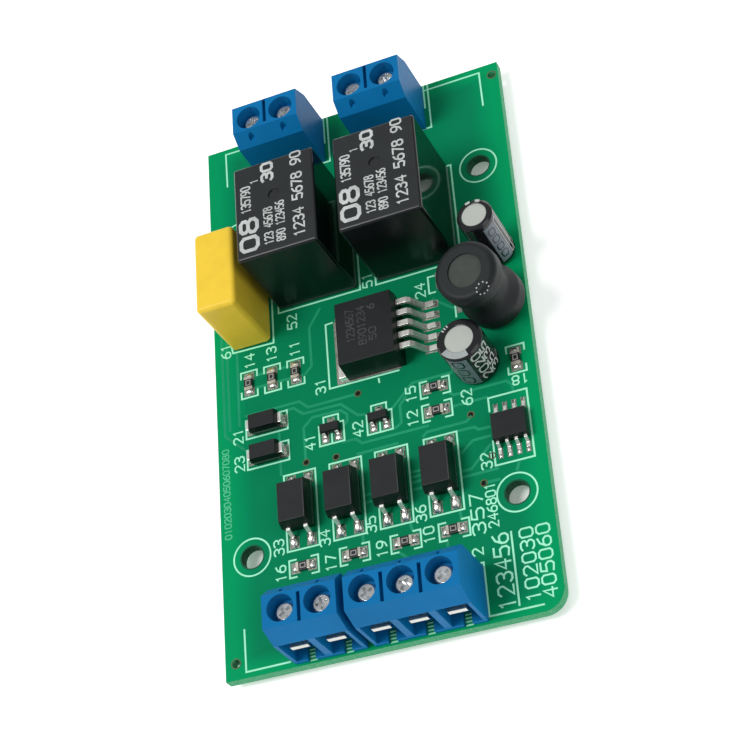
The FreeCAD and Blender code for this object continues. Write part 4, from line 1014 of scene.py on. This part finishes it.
def prints_and_edge_highlights(bm):
    """Printed rows on the regulator, and a pale line along each optocoupler's top edge, a painted highlight.
    """
    rows_of_digits(bm, REGULATOR_ROWS, REGULATOR_TOP - PRINT_T, REGULATOR_TOP + PRINT_T)
    for x in OPTOS:
        ribbon(bm, shifted(OPTO_HIGHLIGHT, x, OPTO_Y), OPTO_HIGHLIGHT_W, OPTO_TOP - PRINT_T, OPTO_TOP + PRINT_T)


def resistor_marks(bm):
    """Lighter glazed frame with a dark middle on each resistor."""
    for x, y, dx, dy in along_resistors():
        outline = box(*footprint(x, y, dx, dy, 0.0, *RESISTOR_MARK))
        ribbon(bm, outline, RESISTOR_MARK_W, RESISTOR_MARK_LOW, RESISTOR_MARK_HIGH, closed=True)


DOTS = 9
DOT_RING = 0.88
DOT_R = 0.11
DOT_SINK = 0.03
DOT_STEPS = 8
DOT_AT = (44.0, 40.75, 11.45)


def circle(middle, normal, radius, steps):
    """Places round a middle, in the plane that the normal stands on."""
    across = normal.cross(Vector((0, 0, 1))).normalized()
    upward = normal.cross(across).normalized()
    turns = [math.tau * k / steps for k in range(steps)]
    return [middle + (across * math.cos(a) + upward * math.sin(a)) * radius * MM for a in turns]


def coil_dots(bm):
    """Ring of small dots on the coil's sleeve, each laid on the surface nearest to its place."""
    coil = nodes["coil_sleeve"]
    sleeve = BVHTree.FromPolygons([coil.matrix_world @ vertex.co for vertex in coil.data.vertices],
                                  [list(face.vertices) for face in coil.data.polygons])
    middle, outward = sleeve.find_nearest(at(*DOT_AT))[:2]
    for near in circle(middle, outward, DOT_RING, DOTS):
        spot, facing = sleeve.find_nearest(near)[:2]
        rim = circle(spot, facing, DOT_R, DOT_STEPS)
        low = [bm.verts.new(point - facing * DOT_SINK * MM) for point in rim]
        high = [bm.verts.new(point + facing * FILM_T * MM) for point in rim]
        bm.faces.new(high)
        bm.faces.new(low[::-1])
        for step in range(DOT_STEPS):
            after = (step + 1) % DOT_STEPS
            bm.faces.new((low[step], low[after], high[after], high[step]))


new_piece("relay_prints", relay_prints, "print")
new_piece("capacitor_prints", cap_prints, "print")
new_piece("capacitor_stripes", cap_stripes, "stripe")
new_piece("capacitor_sectors", cap_sectors, "pale")
new_piece("stripe_marks", stripe_marks, "sleeve")
new_piece("prints_and_edge_highlights", prints_and_edge_highlights, "faint")
new_piece("resistor_marks", resistor_marks, "mark")
new_piece("coil_dots", coil_dots, "print")

# Camera, lights and floor
CAMERA_AT = (103.64, -94.69, 213.59)
CAMERA_AZIMUTH = 34.205
CAMERA_DOWN = 52.877
CAMERA_ROLL = 43.807
FOCAL_PIXELS = 1941.0
FRAME_PIXELS = 750.0
CENTRE_PIXELS = (299.6, 399.3)
SENSOR = 36.0
FLOOR_Z = -0.00002
FLOOR_GLOW = 0.45
WORLD_LIGHT = 0.42
# Low end, high end and softness of the board's painted shadow, where the floor glows dimmer under the board
SHADOW_X = (-BOARD_W / 2, BOARD_W / 2, 3.0)
SHADOW_Y = (-BOARD_L / 2, BOARD_L / 2, 3.0)

azimuth = math.radians(CAMERA_AZIMUTH)
down = math.radians(CAMERA_DOWN)
roll = math.radians(CAMERA_ROLL)
forward = Vector((-math.sin(azimuth) * math.cos(down), math.cos(azimuth) * math.cos(down), -math.sin(down)))
level = Vector((math.cos(azimuth), math.sin(azimuth), 0))
upright = level.cross(forward)
up = upright * math.cos(roll) + level * math.sin(roll)
right = forward.cross(up)
camera_data = bpy.data.cameras.new("camera")
camera = bpy.data.objects.new("camera", camera_data)
bpy.context.scene.collection.objects.link(camera)
camera.matrix_world = Matrix.Translation(at(*CAMERA_AT)) @ Matrix((right, up, -forward)).transposed().to_4x4()
camera_data.sensor_width = SENSOR
camera_data.lens = FOCAL_PIXELS / FRAME_PIXELS * SENSOR
camera_data.shift_x = (FRAME_PIXELS / 2 - CENTRE_PIXELS[0]) / FRAME_PIXELS
camera_data.shift_y = (CENTRE_PIXELS[1] - FRAME_PIXELS / 2) / FRAME_PIXELS
camera_data.clip_start = 0.01
camera_data.clip_end = 10.0
bpy.context.scene.camera = camera

floor_mesh = bpy.data.meshes.new("floor")
floor_mesh.from_pydata([(x, y, FLOOR_Z) for x, y in box(0, 0, 1, 1)], [], [(0, 1, 2, 3)])
floor_white = surface("floor_white", (0.9, 0.9, 0.9), 0.7, mottle=0.01, grain=50, dents=0.02)
floor_tree = floor_white.node_tree
floor_shader = floor_tree.nodes["Principled BSDF"]
# The floor's glow is dimmed under the board: a painted shadow.
board_shadow = field(floor_tree, coordinates(floor_tree, "Object"), SHADOW_X, SHADOW_Y)
glow_and_shadow = ramp(floor_tree, board_shadow, [(0.0, (1, 1, 1)), (1.0, (0.4, 0.4, 0.4))])
link(floor_tree, glow_and_shadow, floor_shader.inputs["Emission Color"])
floor_shader.inputs["Emission Strength"].default_value = FLOOR_GLOW
floor_mesh.materials.append(floor_white)
floor = bpy.data.objects.new("floor", floor_mesh)
bpy.context.scene.collection.objects.link(floor)


def softbox(name, place, size, power):
    """Round soft light that looks at the middle of the scene."""
    data = bpy.data.lights.new(name, "AREA")
    data.shape = "DISK"
    data.size = size
    data.energy = power
    lamp = bpy.data.objects.new(name, data)
    bpy.context.scene.collection.objects.link(lamp)
    lamp.location = place
    lamp.rotation_euler = (-Vector(place)).to_track_quat("-Z", "Y").to_euler()


softbox("key", place=(-0.35, -0.1, 0.85), size=0.4, power=5.0)
softbox("fill", place=(0.4, -0.25, 0.35), size=0.4, power=0.45)
softbox("rear", place=(0.1, 0.5, 0.25), size=0.25, power=0.4)
world = bpy.data.worlds.new("studio")
bpy.context.scene.world = world
world.use_nodes = True
background = world.node_tree.nodes["Background"]
background.inputs["Color"].default_value = (1, 1, 1, 1)
background.inputs["Strength"].default_value = WORLD_LIGHT
bpy.context.scene.view_settings.view_transform = "Standard"
